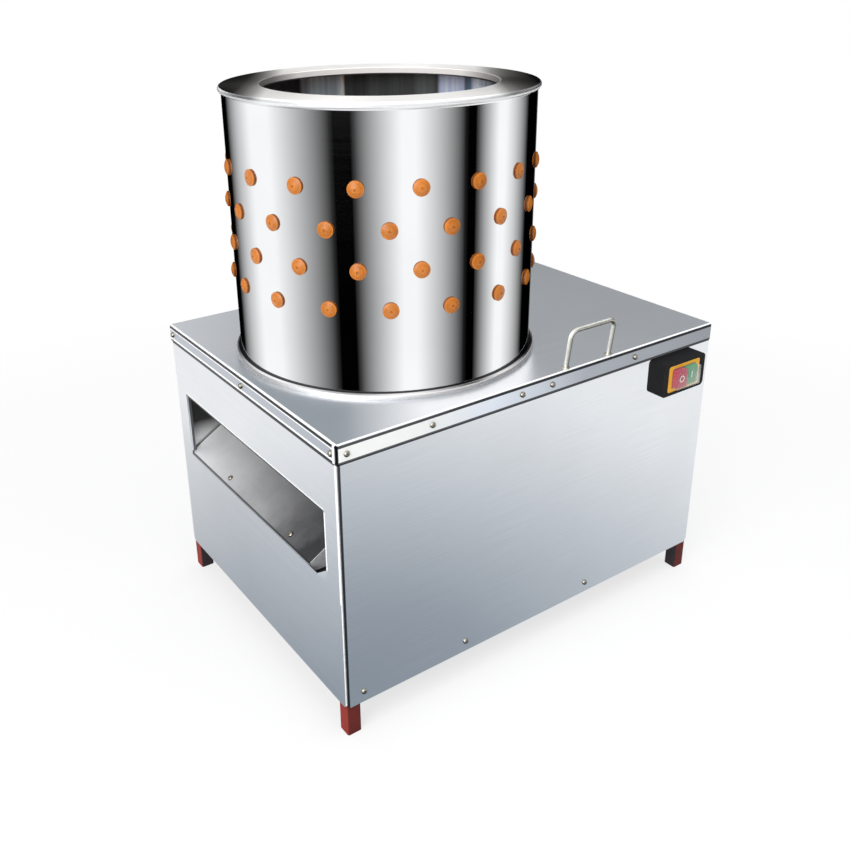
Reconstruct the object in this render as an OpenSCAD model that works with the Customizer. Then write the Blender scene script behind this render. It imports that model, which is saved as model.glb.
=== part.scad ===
// Drum poultry plucker: a steel drum lined with rubber fingers stands over a belt-driven finger disc.
// The sheet-steel cabinet below holds the drive and sheds the feathers through an outlet in its end.
// Axes: X along the cabinet from the outlet to the motor end, Y from the switch side to the rear, Z up.

/* [Cabinet] */
// Length of the cabinet over the cover skirts
cabinet_l = 800; // [780:5:900]
// Width of the cabinet over the cover skirts
cabinet_w = 590; // [585:5:680]
// Height of the cover's top face above the floor
cover_z = 520; // [515:5:580]
// Thickness of the cover sheet
cover_t = 1.5; // [1:0.1:2.5]
// Depth of the cover's turned-down skirt
skirt_h = 30; // [26:1:34]
// Outside radius of the cover's bends
bend_r = 4; // [3:0.5:6]
// Thickness of the panel, tray and chute sheets
panel_t = 1.2; // [0.8:0.1:2]
// Height of the panels' lower edges above the floor
panel_z = 55; // [40:1:70]
// Depth of the return along the foot of each panel
panel_return = 14; // [8:1:20]
// Chamfer on the lower corners of each panel
panel_chamfer = 6; // [3:1:10]
// Gap between sheets that slide over each other
sheet_gap = 0.25; // [0.15:0.05:0.5]
// Gap left between pieces that seat on each other
seat = 0.1; // [0.05:0.05:0.2]

/* [Frame] */
// Side of the square legs
leg_b = 25; // [22:1:30]
// Wall of the legs
leg_t = 2; // [1.5:0.5:3]
// Corner radius of the legs
leg_r = 3; // [2.5:0.5:5]
// Thickness of the plug that closes a leg's foot
leg_plug = 4; // [3:1:8]
// Flange width of the angle iron
angle_b = 30; // [25:1:32]
// Thickness of the angle iron
angle_t = 3; // [2:0.5:5]
// Root radius inside the angle iron
angle_root_r = 4; // [2:0.5:6]
// Height of the rails under the upper bearing plate
upper_rail_z = 285; // [270:5:290]
// Height of the rails under the lower bearing plate and the motor plate
lower_rail_z = 180; // [175:5:195]
// Thickness of the bearing plates and the motor plate
plate_t = 8; // [6:1:12]
// Width of each bearing plate
bearing_plate_w = 124; // [118:2:140]
// Width of the motor plate
motor_plate_w = 216; // [206:2:216]
// Clear height between a panel's return and the bottom rails
rail_lift = 2; // [1:1:6]
// Distance from a cross plate's side to its bolts
plate_bolt_edge = 20; // [16:1:24]

/* [Outlet and feather path] */
// Width of the outlet in the end panel
outlet_w = 500; // [440:10:500]
// Height of the outlet
outlet_h = 124; // [116:2:130]
// Height of the outlet's lower edge above the floor
outlet_z = 268; // [262:1:274]
// Depth of the hem folded in round the outlet
hem = 8; // [5:1:12]
// Length of the sloping lip that carries the chute plate
lip_l = 42; // [36:1:50]
// Slope of the chute plate
chute_angle = 31; // [28:1:34]
// Distance from the outlet's middle to the chute plate's front end
chute_front = 195; // [180:1:205]
// Length of the chute plate up its slope
chute_l = 112; // [100:2:120]
// Depth of the chute plate's gussets below its foot
gusset_drop = 48; // [44:1:56]
// Slope of the catch tray under the drum
tray_angle = 18; // [15:1:19]
// Overlap of the tray over the chute plate
tray_lap = 15; // [8:1:25]
// Height of the tray's turned-up sides
tray_side = 20; // [12:1:30]
// Reach of the tray past the drum at its high end
tray_reach = 10; // [6:1:14]
// Depth of the cheeks below the tray
cheek_drop = 22; // [10:1:26]
// Outside diameter of the collar round the shaft
collar_d = 52; // [46:1:60]
// Wall of the collar
collar_t = 2; // [1.5:0.5:3]
// Height of the chute screws up the slope
chute_screw_up = 14; // [11:1:22]
// Offsets of the chute screws from the outlet's middle
chute_screw_y = [-115, 109];

/* [Drum] */
// Outside diameter of the drum wall
drum_d = 500; // [480:5:500]
// Thickness of the drum wall
drum_t = 1.5; // [1:0.1:2]
// Height of the drum above the cover
drum_h = 440; // [410:5:480]
// Distance from the outlet end to the drum's axis
drum_inset = 282; // [276:1:288]
// Inset of the cover's hole from the drum wall
cover_ledge = 3; // [2:0.5:6]
// Diameter of the mouth in the drum's top ring
mouth_d = 380; // [360:5:420]
// Overhang of the rolled lip beyond the drum wall
rim_lip = 5; // [5:0.5:9]
// Section radius of the rolled lip
rim_bead_r = 5; // [4:0.5:6]
// Thickness of the top ring
rim_t = 1.5; // [1:0.1:2.5]
// Depth of the top ring's turned-down mouth edge
rim_drop = 12; // [6:1:20]
// Width of the base ring outside the drum wall
base_ring_w = 8.5; // [7:0.5:12]
// Height of the base ring
base_ring_h = 10; // [9.5:0.5:16]
// Number of screws that hold the base ring to the cover
ring_screw_count = 8; // [6:1:16]

/* [Rubber fingers] */
// Fingers in each row round the drum wall
wall_count = 17; // [12:1:18]
// Angle of the first finger in the top row
wall_start = -132; // [-180:1:180]
// Height of the lowest row above the cover
row_z = 141; // [138:1:150]
// Distance between neighbouring rows
row_pitch = 60; // [52:1:64]
// Diameter of a finger's outer head
head_d = 25; // [23:0.5:28]
// Height of the domed head
head_h = 6.5; // [5:0.5:9]
// Height of the head's upright edge
head_edge = 2.5; // [1.5:0.5:4]
// Diameter of the dimple in the head
dimple_d = 4; // [2:0.5:6]
// Depth of the dimple
dimple_h = 1.2; // [0.5:0.1:2]
// Diameter of the neck that fills the hole
neck_d = 19; // [16:0.5:21]
// Radial play of the neck in its hole
neck_play = 0.1; // [0.05:0.05:0.2]
// Diameter of the shoulder behind the sheet
shoulder_d = 24; // [23:0.5:27]
// Thickness of the shoulder
shoulder_h = 4; // [3:0.5:6]
// Length of the finger past its shoulder
finger_l = 86; // [70:1:92]
// Diameter at the finger's root between the ribs
root_d = 19; // [16:0.5:20]
// Diameter at the finger's tip between the ribs
tip_d = 12; // [10:0.5:15]
// Height of each rib
rib_h = 1.6; // [0.8:0.1:2]
// Number of ribs on a finger
rib_count = 6; // [4:1:9]

/* [Turntable] */
// Gap between the disc and the drum wall for feathers
feather_gap = 20; // [14:1:26]
// Thickness of the finger disc
disc_t = 4; // [3:0.5:6]
// Height of the disc's top face above the cover
disc_rise = 10; // [8:0.5:14]
// Radius of the innermost ring of fingers
ring_r = 75; // [72:1:80]
// Distance between the rings of fingers
ring_step = 60; // [54:1:60]
// Fingers added with each ring, and in the first
ring_count = 6; // [4:1:7]
// Diameter of the hub's flange
hub_flange_d = 96; // [90:2:110]
// Thickness of the hub's flange
hub_flange_t = 10; // [8:1:14]
// Diameter of the hub's boss
hub_d = 60; // [54:1:64]
// Length of the hub's boss below its flange
hub_l = 46; // [36:1:50]
// Pitch circle of the disc bolts
disc_bolt_pcd = 76; // [74:1:78]
// Number of disc bolts
disc_bolt_count = 6; // [4:1:8]
// Diameter of the drive shaft
shaft_d = 30; // [25:1:32]
// Diameter of the threaded top of the shaft
thread_d = 24; // [20:1:24]
// Length of the threaded top above the disc
thread_l = 18; // [14:1:22]
// Running clearance between moving and fixed pieces
run_gap = 0.3; // [0.3:0.05:0.5]

/* [Bearings] */
// Thickness of the bearing flange
flange_t = 14; // [10:1:16]
// Height of a bearing housing
housing_h = 34; // [30:1:38]
// Outside diameter of the housing's boss
housing_d = 80; // [76:1:88]
// Outside diameter of the bearing insert
insert_d = 62; // [58:1:66]
// Height of the insert's outer race
outer_race_h = 24; // [20:1:28]
// Height of the insert's inner race
inner_race_h = 38; // [34:1:42]
// Outside diameter of the inner race
inner_race_d = 44; // [40:1:48]
// Distance between the bearing bolts
bearing_bolt_pitch = 83; // [81:1:88]
// Distance from the bearing bolts to the flange's edge
flange_margin = 12.5; // [11:0.5:14]

/* [Belt drive] */
// Height of the belt's middle above the floor
belt_z = 126; // [124:1:136]
// Outside diameter of the driven pulley
driven_d = 300; // [260:5:320]
// Outside diameter of the motor pulley
drive_d = 72; // [66:1:90]
// Top width of the belt's section
belt_w = 13; // [10:0.5:17]
// Height of the belt's section
belt_h = 8; // [6:0.5:11]
// Narrowing of the belt's section from top to bottom
belt_taper = 5; // [4:0.5:6]
// Width of the pulley rims
rim_w = 22; // [20:1:26]
// Depth of the pulley grooves
groove_h = 11; // [10.5:0.5:13]
// Radial thickness of the driven pulley's rim
pulley_rim_t = 18; // [16:1:22]
// Thickness of the driven pulley's web
web_t = 9; // [6:1:12]
// Diameter of the driven pulley's hub
pulley_hub_d = 66; // [56:1:70]
// Length of the driven pulley's hub
pulley_hub_l = 44; // [36:1:46]
// Diameter of the lightening holes in the web
web_hole_d = 52; // [40:1:56]
// Number of lightening holes
web_hole_count = 5; // [4:1:6]

/* [Motor] */
// Distance from the motor end to the motor's axis
motor_inset = 150; // [145:1:160]
// Diameter of the motor's mounting flange
motor_flange_d = 200; // [196:1:204]
// Thickness of the motor's mounting flange
motor_flange_t = 14; // [12:1:18]
// Pitch circle of the flange bolts
motor_bolt_pcd = 165; // [163:1:172]
// Diameter of the spigot under the motor's flange
spigot_d = 85; // [80:1:90]
// Length of the finned housing
motor_l = 190; // [160:2:200]
// Diameter of the housing under its fins
motor_core_d = 124; // [116:1:130]
// Diameter over the fins
motor_fin_d = 144; // [138:1:144]
// Number of cooling fins
fin_count = 28; // [16:1:32]
// Thickness of a fin
fin_t = 3; // [2:0.5:4]
// Diameter of the motor shaft
motor_shaft_d = 24; // [19:1:26]
// Thickness of the rear end shield
end_shield_t = 16; // [14:1:20]
// Height of the fan cover above the end shield
fan_cover_h = 46; // [40:1:50]
// Wall of the fan cover
fan_cover_t = 1.5; // [1:0.1:2]
// Number of fan blades
blade_count = 7; // [5:1:9]
// Number of slots in the fan cover
vent_count = 18; // [12:1:24]
// Outside diameter of the motor bearings
motor_bearing_d = 52; // [47:1:56]
// Height of the motor bearings
motor_bearing_h = 9; // [8:1:12]
// Width of the terminal box
terminal_w = 86; // [76:1:96]
// Height of the terminal box
terminal_h = 78; // [70:1:90]
// Depth of the terminal box
terminal_d = 40; // [34:1:46]
// Travel of the motor in its slots for belt tension
tension_slot = 24; // [16:1:28]

/* [Switch] */
// Distance from the motor end to the switch's middle
switch_inset = 109; // [100:1:120]
// Height of the switch's middle above the floor
switch_z = 456; // [440:1:456]
// Width of the switch box
switch_w = 108; // [100:1:116]
// Height of the switch box
switch_h = 62; // [58:1:64]
// Depth of the switch box
switch_d = 34; // [30:1:40]
// Corner radius of the switch box
switch_r = 8; // [4:1:12]
// Width of the yellow switch plate
face_w = 79; // [76:1:86]
// Height of the yellow switch plate
face_h = 49; // [47:1:52]
// Thickness of the yellow switch plate
face_t = 1.5; // [1:0.1:2]
// Width of a push button
button_w = 27; // [24:1:28]
// Height of a push button
button_h = 33; // [28:1:34]
// Stand of the stop button above the plate
stop_stand = 9; // [7:0.5:9]
// Stand of the start button above the plate
start_stand = 5.5; // [5:0.5:8]
// Length of a button inside the box
button_in = 11; // [9:0.5:12]
// Depth of the buttons' wells
well_h = 20; // [18:1:22]
// Gap between the two buttons
button_gap = 3; // [2:0.5:4]
// Play of a button in its well
button_play = 0.3; // [0.2:0.05:0.4]
// Wall of the clear boot over the buttons
boot_t = 1; // [0.8:0.1:1.2]
// Stand of the boot above the plate
boot_stand = 12; // [11:0.5:14]

/* [Handles] */
// Distance from the outlet end to the handles' middle
handle_inset = 491; // [470:1:520]
// Width between a handle's legs
handle_w = 97; // [85:1:110]
// Height of a handle
handle_h = 67; // [55:1:80]
// Diameter of the handle rod
handle_d = 8; // [6:0.5:10]
// Bend radius of the handle rod
handle_bend = 13; // [10:1:18]
// Outward lean of the handles
handle_lean = 8; // [4:1:12]
// Distance from the cover's edge to a handle's feet
handle_edge = 9; // [9:1:12]

/* [Fasteners] */
// Distances of the front skirt screws from the outlet end
skirt_screws = [18, 167, 343, 407, 598];
// Distance of the end skirt screws from the cabinet's sides
end_screw_inset = 14; // [12:1:20]
// Height of the skirt screws above the skirt's lower edge
skirt_screw_up = 13; // [9:1:15]
// Distances of the panel's foot screws from the outlet end
foot_screws = [34, 237, 515];
// Height of the foot screws above the panels' lower edges
foot_screw_up = 20; // [16:1:24]
// Diameter of the sheet screws
screw_d = 5; // [4:0.5:6]
// Length of the sheet screws under the head
screw_l = 12; // [10:1:14]
// Diameter of the sheet screw heads
screw_head_d = 9.5; // [8:0.5:11]
// Height of the sheet screw heads
screw_head_h = 3.2; // [2.5:0.1:4]
// Radial play of bolts and screws in their holes
bolt_play = 0.15; // [0.1:0.05:0.3]
// Diameter of the structural bolts
bolt_d = 10; // [8:1:10]

/* [Cable gland] */
// Distance from the motor end to the cable gland
gland_inset = 100; // [60:5:140]
// Height of the cable gland above the floor
gland_z = 130; // [110:5:150]
// Diameter of the gland's cable bore
gland_bore = 10; // [8:0.5:12]
// Reach of the gland beyond the rear panel
gland_reach = 26; // [22:1:30]

/* [Hidden] */
$fn = 72;

steel = [0.74, 0.77, 0.81];
mirror_steel = [0.86, 0.87, 0.88];
frame_red = [0.55, 0.10, 0.09];
rubber_orange = [0.87, 0.50, 0.20];
cast_grey = [0.36, 0.38, 0.40];
zinc = [0.68, 0.68, 0.66];
belt_black = [0.07, 0.07, 0.07];
motor_blue = [0.30, 0.40, 0.48];

// Overrun of a cut past the face it opens
cut = 1;

// Frame planes
half_l = cabinet_l / 2;
half_w = cabinet_w / 2;
panel_out_x = half_l - cover_t - sheet_gap;
panel_out_y = half_w - cover_t - sheet_gap;
frame_x = panel_out_x - panel_t - seat;
frame_y = panel_out_y - panel_t - seat;
bend_reach = max(0, bend_r - cover_t - sheet_gap - panel_t - seat);
frame_top = cover_z - bend_r + sqrt(pow(bend_r - cover_t, 2) - pow(bend_reach, 2)) - seat;
leg_top = cover_z - bend_r - 2 * seat;
rail_lx = 2 * (frame_x - leg_b - seat);
rail_ly = 2 * (frame_y - leg_b - seat);
bottom_rail_z = panel_z + panel_t + rail_lift + angle_b;
skirt_screw_z = cover_z - skirt_h + skirt_screw_up;
foot_screw_z = panel_z + foot_screw_up;

// Axes of the drum and the motor
drum_r = drum_d / 2;
drum_x = drum_inset - half_l;
motor_x = half_l - motor_inset;
drum_top = cover_z + drum_h;

// Reach of the switch and the gland, which centres the whole machine on its own origin
boot_flange_t = 1;
switch_reach = switch_d + boot_stand - cover_t - sheet_gap;
rear_reach = gland_reach - cover_t - sheet_gap;
centre_y = (switch_reach - rear_reach) / 2;

// Hole radii
screw_hole_r = screw_d / 2 + bolt_play;
bolt_hole_r = bolt_d / 2 + bolt_play;
neck_hole_r = neck_d / 2 + neck_play;

// Rows of fingers on the wall, rings on the disc, and the turn from ring to ring
row_total = 4;
ring_total = 3;
ring_turn = 15;

// Hexagons across flats and thicknesses of bolt heads, nuts and washers
bolt_af = 1.6 * bolt_d;
bolt_head_h = 0.65 * bolt_d;
nut_h = 0.8 * bolt_d;
bolt_tail = 3;

// Feather path
chute_x = -frame_x;
chute_foot_z = outlet_z + panel_t * tan(chute_angle) + seat;
chute_end_x = chute_x + chute_l * cos(chute_angle);
chute_end_z = chute_foot_z + chute_l * sin(chute_angle) + panel_t * cos(chute_angle);
tray_end_x = drum_x + drum_r + tray_reach;
tray_x = chute_end_x - tray_lap;
tray_z = chute_end_z + sheet_gap - tray_lap * tan(tray_angle);
tray_l = (tray_end_x - tray_x) / cos(tray_angle);
cheek_out_y = frame_y - angle_b - seat;
tray_half_w = cheek_out_y - panel_t - sheet_gap;
chute_w = chute_front + tray_half_w;
hem_z = chute_foot_z + hem * tan(chute_angle) + panel_t / cos(chute_angle) + sheet_gap;
function tray_top_z(x) = tray_z + (x - tray_x) * tan(tray_angle) + panel_t / cos(tray_angle);

// Levels of the turntable
disc_top = cover_z + disc_rise;
disc_z = disc_top - disc_t;
disc_r = drum_r - drum_t - feather_gap;
hub_top = disc_z - seat;
hub_z = hub_top - hub_flange_t - hub_l;
shaft_r = shaft_d / 2;
shaft_z = belt_z - pulley_hub_l / 2;
collar_gap = 3;
collar_top = hub_z - collar_gap;
bearing_seats = [upper_rail_z + plate_t + 2 * seat, lower_rail_z + plate_t + 2 * seat];
disc_bolt_d = 8;
disc_bolt_af = 13;
disc_washer_t = 3;
washer_rim = 6;
race_play = 2;
flange_w = bearing_bolt_pitch + 2 * flange_margin;

// Belt geometry in plan
driven_r = driven_d / 2;
drive_r = drive_d / 2;
belt_span = motor_x - drum_x;
belt_lean = asin((driven_r - drive_r) / belt_span);
belt_run_l = belt_span * cos(belt_lean);
groove_half = belt_w / 2 + run_gap / cos(atan(belt_taper / 2 / belt_h));
groove_slope = belt_taper / 2 / belt_h;

// Levels of the motor
motor_z = lower_rail_z + plate_t + 2 * seat;
housing_z = motor_z + motor_flange_t + seat;
shield_z = housing_z + motor_l + seat;
fan_lift = 6;
fan_head_gap = 12;
fan_play = 6;
fan_z = shield_z + end_shield_t + fan_lift;
fan_h = fan_cover_h - fan_lift - fan_head_gap;
motor_core_r = motor_core_d / 2;
motor_fin_r = motor_fin_d / 2;
motor_shaft_r = motor_shaft_d / 2;
motor_bore_play = 1;
motor_bore_r = motor_shaft_r + motor_bore_play;
spigot_r = spigot_d / 2;
spigot_h = 4;
pad_stand = 2;
terminal_pad = motor_fin_r + pad_stand;
terminal_z = housing_z + motor_l / 2;

// Switch layout
switch_x = half_l - switch_inset;
well_w = button_w + 2 * button_play;
well_b = button_h + 2 * button_play;
button_pitch = button_w + button_gap;
boot_in_w = button_pitch + well_w + 2 * button_play;
boot_in_h = well_b + 2 * button_play;
boot_w = boot_in_w + 2 * boot_t;
boot_h = boot_in_h + 2 * boot_t;
boot_brim = 3;
face_r = 4;
boot_r = 3;
button_r = 3;
face_floor = switch_d - face_t - boot_flange_t - seat;

// Handles
handle_x = handle_inset - half_l;
handle_y = half_w - handle_edge;
handle_r = handle_d / 2;

// Moves a piece from the cabinet's own middle to the machine's origin
module place() {
    translate([0, centre_y, 0]) children();
}

// Places a piece on the drum's vertical axis
module at_drum(z = 0) {
    place() translate([drum_x, 0, z]) children();
}

// Places a piece on the motor's vertical axis
module at_motor(z = 0) {
    place() translate([motor_x, 0, z]) children();
}

// Hollow cylinder standing on z = 0
module tube(outer_r, inner_r, h) {
    difference() {
        cylinder(r = outer_r, h = h);
        translate([0, 0, -cut]) cylinder(r = inner_r, h = h + 2 * cut);
    }
}

// Hexagonal prism standing on z = 0
module hexagon(across_flats, h) {
    cylinder(d = across_flats / cos(30), h = h, $fn = 6);
}

// Flat rectangle with round corners, centred
module round_rect(w, h, r) {
    square([w - 2 * r, h], center = true);
    square([w, h - 2 * r], center = true);
    for (sx = [-1, 1], sy = [-1, 1]) translate([sx * (w / 2 - r), sy * (h / 2 - r)]) circle(r);
}

// Section of the angle iron, corner at the origin, flanges along +X and -Y
module angle_section() {
    translate([0, -angle_t]) square([angle_b, angle_t]);
    translate([0, -angle_b]) square([angle_t, angle_b]);
    translate([angle_t, -angle_t - angle_root_r]) difference() {
        square(angle_root_r);
        translate([angle_root_r, 0]) circle(angle_root_r);
    }
}

// Angle iron along X, corner line on top, flanges along +Y and -Z
module angle_bar(l) {
    rotate([90, 0, 90]) translate([0, 0, -l / 2]) linear_extrude(l) angle_section();
}

// Rail along the front (side = -1) or the rear (side = 1)
module long_rail(side, z) {
    translate([0, side * frame_y, z]) mirror([0, side > 0 ? 1 : 0, 0]) angle_bar(rail_lx);
}

// Rail along the outlet end (side = -1) or the motor end (side = 1)
module end_rail(side, z) {
    translate([side * frame_x, 0, z]) rotate([0, 0, side * 90]) angle_bar(rail_ly);
}

// Hex bolt with its head above z = 0, a shank of length grip through the joint, and its nut below
module hex_bolt(d, af, head_h, grip, nut_t) {
    hexagon(af, head_h);
    translate([0, 0, -grip - nut_t - bolt_tail]) cylinder(d = d, h = grip + nut_t + bolt_tail);
    translate([0, 0, -grip - nut_t]) difference() {
        hexagon(af, nut_t - seat);
        translate([0, 0, -cut]) cylinder(r = d / 2 + seat, h = nut_t + 2 * cut);
    }
}

// Pan-head screw pointing down, its head resting on z = 0
module pan_screw() {
    dome_r = (pow(screw_head_d / 2, 2) + pow(screw_head_h, 2)) / (2 * screw_head_h);
    rotate_extrude() intersection() {
        translate([0, screw_head_h - dome_r]) circle(dome_r);
        translate([0, seat]) square([screw_head_d / 2, screw_head_h]);
    }
    translate([0, 0, -screw_l]) cylinder(d = screw_d, h = screw_l + 2 * seat);
}

// Puts a screw at each place on the skirts, with its axis into the cabinet
module at_skirt_screws() {
    for (d = skirt_screws, side = [-1, 1]) {
        translate([d - half_l, side * half_w, skirt_screw_z]) rotate([-side * 90, 0, 0]) children();
    }
    for (y = [end_screw_inset - half_w, 0, half_w - end_screw_inset], side = [-1, 1]) {
        translate([side * half_l, y, skirt_screw_z]) rotate([0, side * 90, 0]) children();
    }
}

// Puts a screw at each place along the feet of the long panels
module at_foot_screws() {
    for (d = foot_screws, side = [-1, 1]) {
        translate([d - half_l, side * panel_out_y, foot_screw_z]) rotate([-side * 90, 0, 0]) children();
    }
}

// Puts a screw at each place on the chute plate
module at_chute_screws() {
    for (y = chute_screw_y) {
        translate([chute_x, y, chute_foot_z]) rotate([0, -chute_angle, 0])
            translate([chute_screw_up, 0, panel_t]) children();
    }
}

module screw_hole() {
    translate([0, 0, -screw_l - cut]) cylinder(r = screw_hole_r, h = screw_l + 3 * cut);
}

module sheet_screw_holes() {
    at_skirt_screws() screw_hole();
    at_foot_screws() screw_hole();
}

// Places of the bolts that hold the cross plates to their rails
module at_plate_bolts(x, half_pitch) {
    for (dx = [-1, 1], side = [-1, 1]) {
        translate([x + dx * half_pitch, side * (frame_y - plate_bolt_in), 0]) children();
    }
}

plate_bolt_in = (angle_b + angle_t + angle_root_r) / 2;
bearing_plate_pitch = bearing_plate_w / 2 - plate_bolt_edge;
motor_plate_pitch = motor_plate_w / 2 - plate_bolt_edge;

module plate_bolt_holes() {
    translate([0, 0, lower_rail_z - angle_b]) {
        at_plate_bolts(motor_x, motor_plate_pitch) cylinder(r = bolt_hole_r, h = 2 * angle_b);
    }
    for (z = [lower_rail_z, upper_rail_z]) translate([0, 0, z - angle_b]) {
        at_plate_bolts(drum_x, bearing_plate_pitch) cylinder(r = bolt_hole_r, h = 2 * angle_b);
    }
}

// Bend and skirt of the cover, in section: the sheet runs in from -X and turns down
module skirt_section() {
    intersection() {
        difference() {
            circle(bend_r);
            circle(bend_r - cover_t);
        }
        square(bend_r);
    }
    translate([bend_r - cover_t, bend_r - skirt_h]) square([cover_t, skirt_h - bend_r]);
}

// One bent skirt along X, its outer face on y = -half_w
module skirt(l, reach) {
    translate([-l / 2, bend_r - reach, cover_z - bend_r]) rotate([90, 0, 90]) linear_extrude(l)
        mirror([1, 0]) skirt_section();
}

module at_ring_screws() {
    for (i = [0 : ring_screw_count - 1]) rotate(360 * (i + 0.5) / ring_screw_count) {
        translate([drum_r + base_ring_w / 2, 0, 0]) children();
    }
}

ring_screw_d = 4;
ring_screw_l = cover_t + base_ring_h / 2;

module cover() {
    flat_l = cabinet_l - 2 * bend_r;
    flat_w = cabinet_w - 2 * bend_r;
    color(steel) place() difference() {
        union() {
            translate([-flat_l / 2, -flat_w / 2, cover_z - cover_t]) cube([flat_l, flat_w, cover_t]);
            for (side = [0, 1]) mirror([0, side, 0]) skirt(flat_l, half_w);
            for (side = [-1, 1]) rotate([0, 0, side * 90]) skirt(flat_w, half_l);
        }
        translate([drum_x, 0, cover_z - cover_t - cut]) {
            cylinder(r = drum_r - drum_t - cover_ledge, h = cover_t + 2 * cut);
            at_ring_screws() cylinder(r = ring_screw_d / 2 + bolt_play, h = cover_t + 2 * cut);
        }
        at_skirt_screws() screw_hole();
    }
}

// Flat panel in the XZ plane with chamfered lower corners and a return at its foot, outer face on y = 0
module panel(w, return_w) {
    top = cover_z - bend_r - seat - panel_z;
    rotate([90, 0, 0]) translate([0, panel_z, -panel_t]) linear_extrude(panel_t) polygon([
        [-w / 2, top], [-w / 2, panel_chamfer], [panel_chamfer - w / 2, 0],
        [w / 2 - panel_chamfer, 0], [w / 2, panel_chamfer], [w / 2, top]
    ]);
    translate([-return_w / 2, panel_t / 2, panel_z]) cube([return_w, panel_return, panel_t]);
}

long_panel_w = 2 * (panel_out_x - panel_t - sheet_gap);
end_panel_w = 2 * (panel_out_y - panel_t - sheet_gap);
switch_lead_r = 9;
gland_thread_d = gland_bore + 10;

module front_panel() {
    color(steel) place() difference() {
        translate([0, -panel_out_y, 0]) panel(long_panel_w, rail_lx);
        sheet_screw_holes();
        translate([switch_x, 0, switch_z]) rotate([90, 0, 0]) cylinder(r = switch_lead_r, h = cabinet_w);
    }
}

module rear_panel() {
    color(steel) place() difference() {
        translate([0, panel_out_y, 0]) mirror([0, 1, 0]) panel(long_panel_w, rail_lx);
        sheet_screw_holes();
        translate([half_l - gland_inset, 0, gland_z]) rotate([-90, 0, 0]) {
            cylinder(r = gland_thread_d / 2 + bolt_play, h = cabinet_w);
        }
    }
}

module motor_end_panel() {
    color(steel) place() difference() {
        translate([panel_out_x, 0, 0]) rotate([0, 0, 90]) panel(end_panel_w, rail_ly);
        sheet_screw_holes();
    }
}

// End panel with the feather outlet, hemmed on three sides, and the sloping lip under the chute plate
module outlet_panel() {
    lip_play = 2;
    lip_front = chute_front - panel_t - lip_play;
    lip_w = lip_front + outlet_w / 2 - lip_play;
    color(steel) place() difference() {
        union() {
            difference() {
                translate([-panel_out_x, 0, 0]) rotate([0, 0, -90]) panel(end_panel_w, rail_ly);
                translate([-panel_out_x - cut, -outlet_w / 2, outlet_z]) {
                    cube([panel_t + 2 * cut, outlet_w, outlet_h]);
                }
            }
            for (side = [-1, 1]) {
                translate([-panel_out_x, side * (outlet_w / 2 + panel_t / 2) - panel_t / 2, hem_z]) {
                    cube([hem, panel_t, outlet_z + outlet_h + panel_t - hem_z]);
                }
            }
            translate([-panel_out_x, -outlet_w / 2, outlet_z + outlet_h]) cube([hem, outlet_w, panel_t]);
            translate([-panel_out_x + panel_t / 2, -lip_front, outlet_z]) rotate([0, -chute_angle, 0]) {
                translate([0, 0, -panel_t]) cube([lip_l, lip_w, panel_t]);
            }
        }
        sheet_screw_holes();
        at_chute_screws() screw_hole();
    }
}

// Square tube with a plugged foot, its outer corner on the frame's corner
module leg(sx, sy) {
    color(frame_red) place() difference() {
        translate([sx * (frame_x - leg_b / 2), sy * (frame_y - leg_b / 2), 0]) {
            linear_extrude(leg_top) difference() {
                round_rect(leg_b, leg_b, leg_r);
                round_rect(leg_b - 2 * leg_t, leg_b - 2 * leg_t, leg_r - leg_t);
            }
            linear_extrude(leg_plug) square(leg_b - leg_t, center = true);
        }
        sheet_screw_holes();
    }
}

module leg_front_left() { leg(-1, -1); }
module leg_front_right() { leg(1, -1); }
module leg_rear_left() { leg(-1, 1); }
module leg_rear_right() { leg(1, 1); }

module top_rails() {
    color(frame_red) place() difference() {
        for (side = [-1, 1]) {
            long_rail(side, frame_top);
            end_rail(side, frame_top);
        }
        sheet_screw_holes();
    }
}

module bottom_rails() {
    color(frame_red) place() difference() {
        for (side = [-1, 1]) {
            long_rail(side, bottom_rail_z);
            end_rail(side, bottom_rail_z);
        }
        sheet_screw_holes();
    }
}

module bearing_rails() {
    color(frame_red) place() difference() {
        for (side = [-1, 1]) long_rail(side, upper_rail_z);
        plate_bolt_holes();
    }
}

module motor_rails() {
    color(frame_red) place() difference() {
        for (side = [-1, 1]) long_rail(side, lower_rail_z);
        plate_bolt_holes();
    }
}

// Places of the four bolts round one bearing
module at_bearing_bolts() {
    for (dx = [-1, 1], dy = [-1, 1]) {
        translate([dx * bearing_bolt_pitch / 2, dy * bearing_bolt_pitch / 2, 0]) children();
    }
}

module bearing_plates() {
    plate_l = 2 * (frame_y - seat);
    color(frame_red) place() difference() {
        for (z = [upper_rail_z, lower_rail_z]) {
            translate([drum_x - bearing_plate_w / 2, -plate_l / 2, z + seat]) {
                cube([bearing_plate_w, plate_l, plate_t]);
            }
        }
        plate_bolt_holes();
        translate([drum_x, 0, 0]) {
            cylinder(r = inner_race_d / 2 + race_play, h = cover_z);
            at_bearing_bolts() cylinder(r = bolt_hole_r, h = cover_z);
        }
    }
}

// Places of the four motor bolts
module at_motor_bolts() {
    for (turn = [45 : 90 : 315]) rotate(turn) translate([motor_bolt_pcd / 2, 0, 0]) rotate(-turn) children();
}

module motor_plate() {
    plate_l = 2 * (frame_y - seat);
    color(frame_red) place() difference() {
        translate([motor_x - motor_plate_w / 2, -plate_l / 2, lower_rail_z + seat]) {
            cube([motor_plate_w, plate_l, plate_t]);
        }
        plate_bolt_holes();
        translate([motor_x, 0, lower_rail_z - cut]) linear_extrude(plate_t + 3 * cut) {
            circle(spigot_r + tension_slot / 2 + bolt_play);
            at_motor_bolts() round_rect(tension_slot + 2 * bolt_hole_r, 2 * bolt_hole_r, bolt_hole_r - seat);
        }
    }
}

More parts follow.
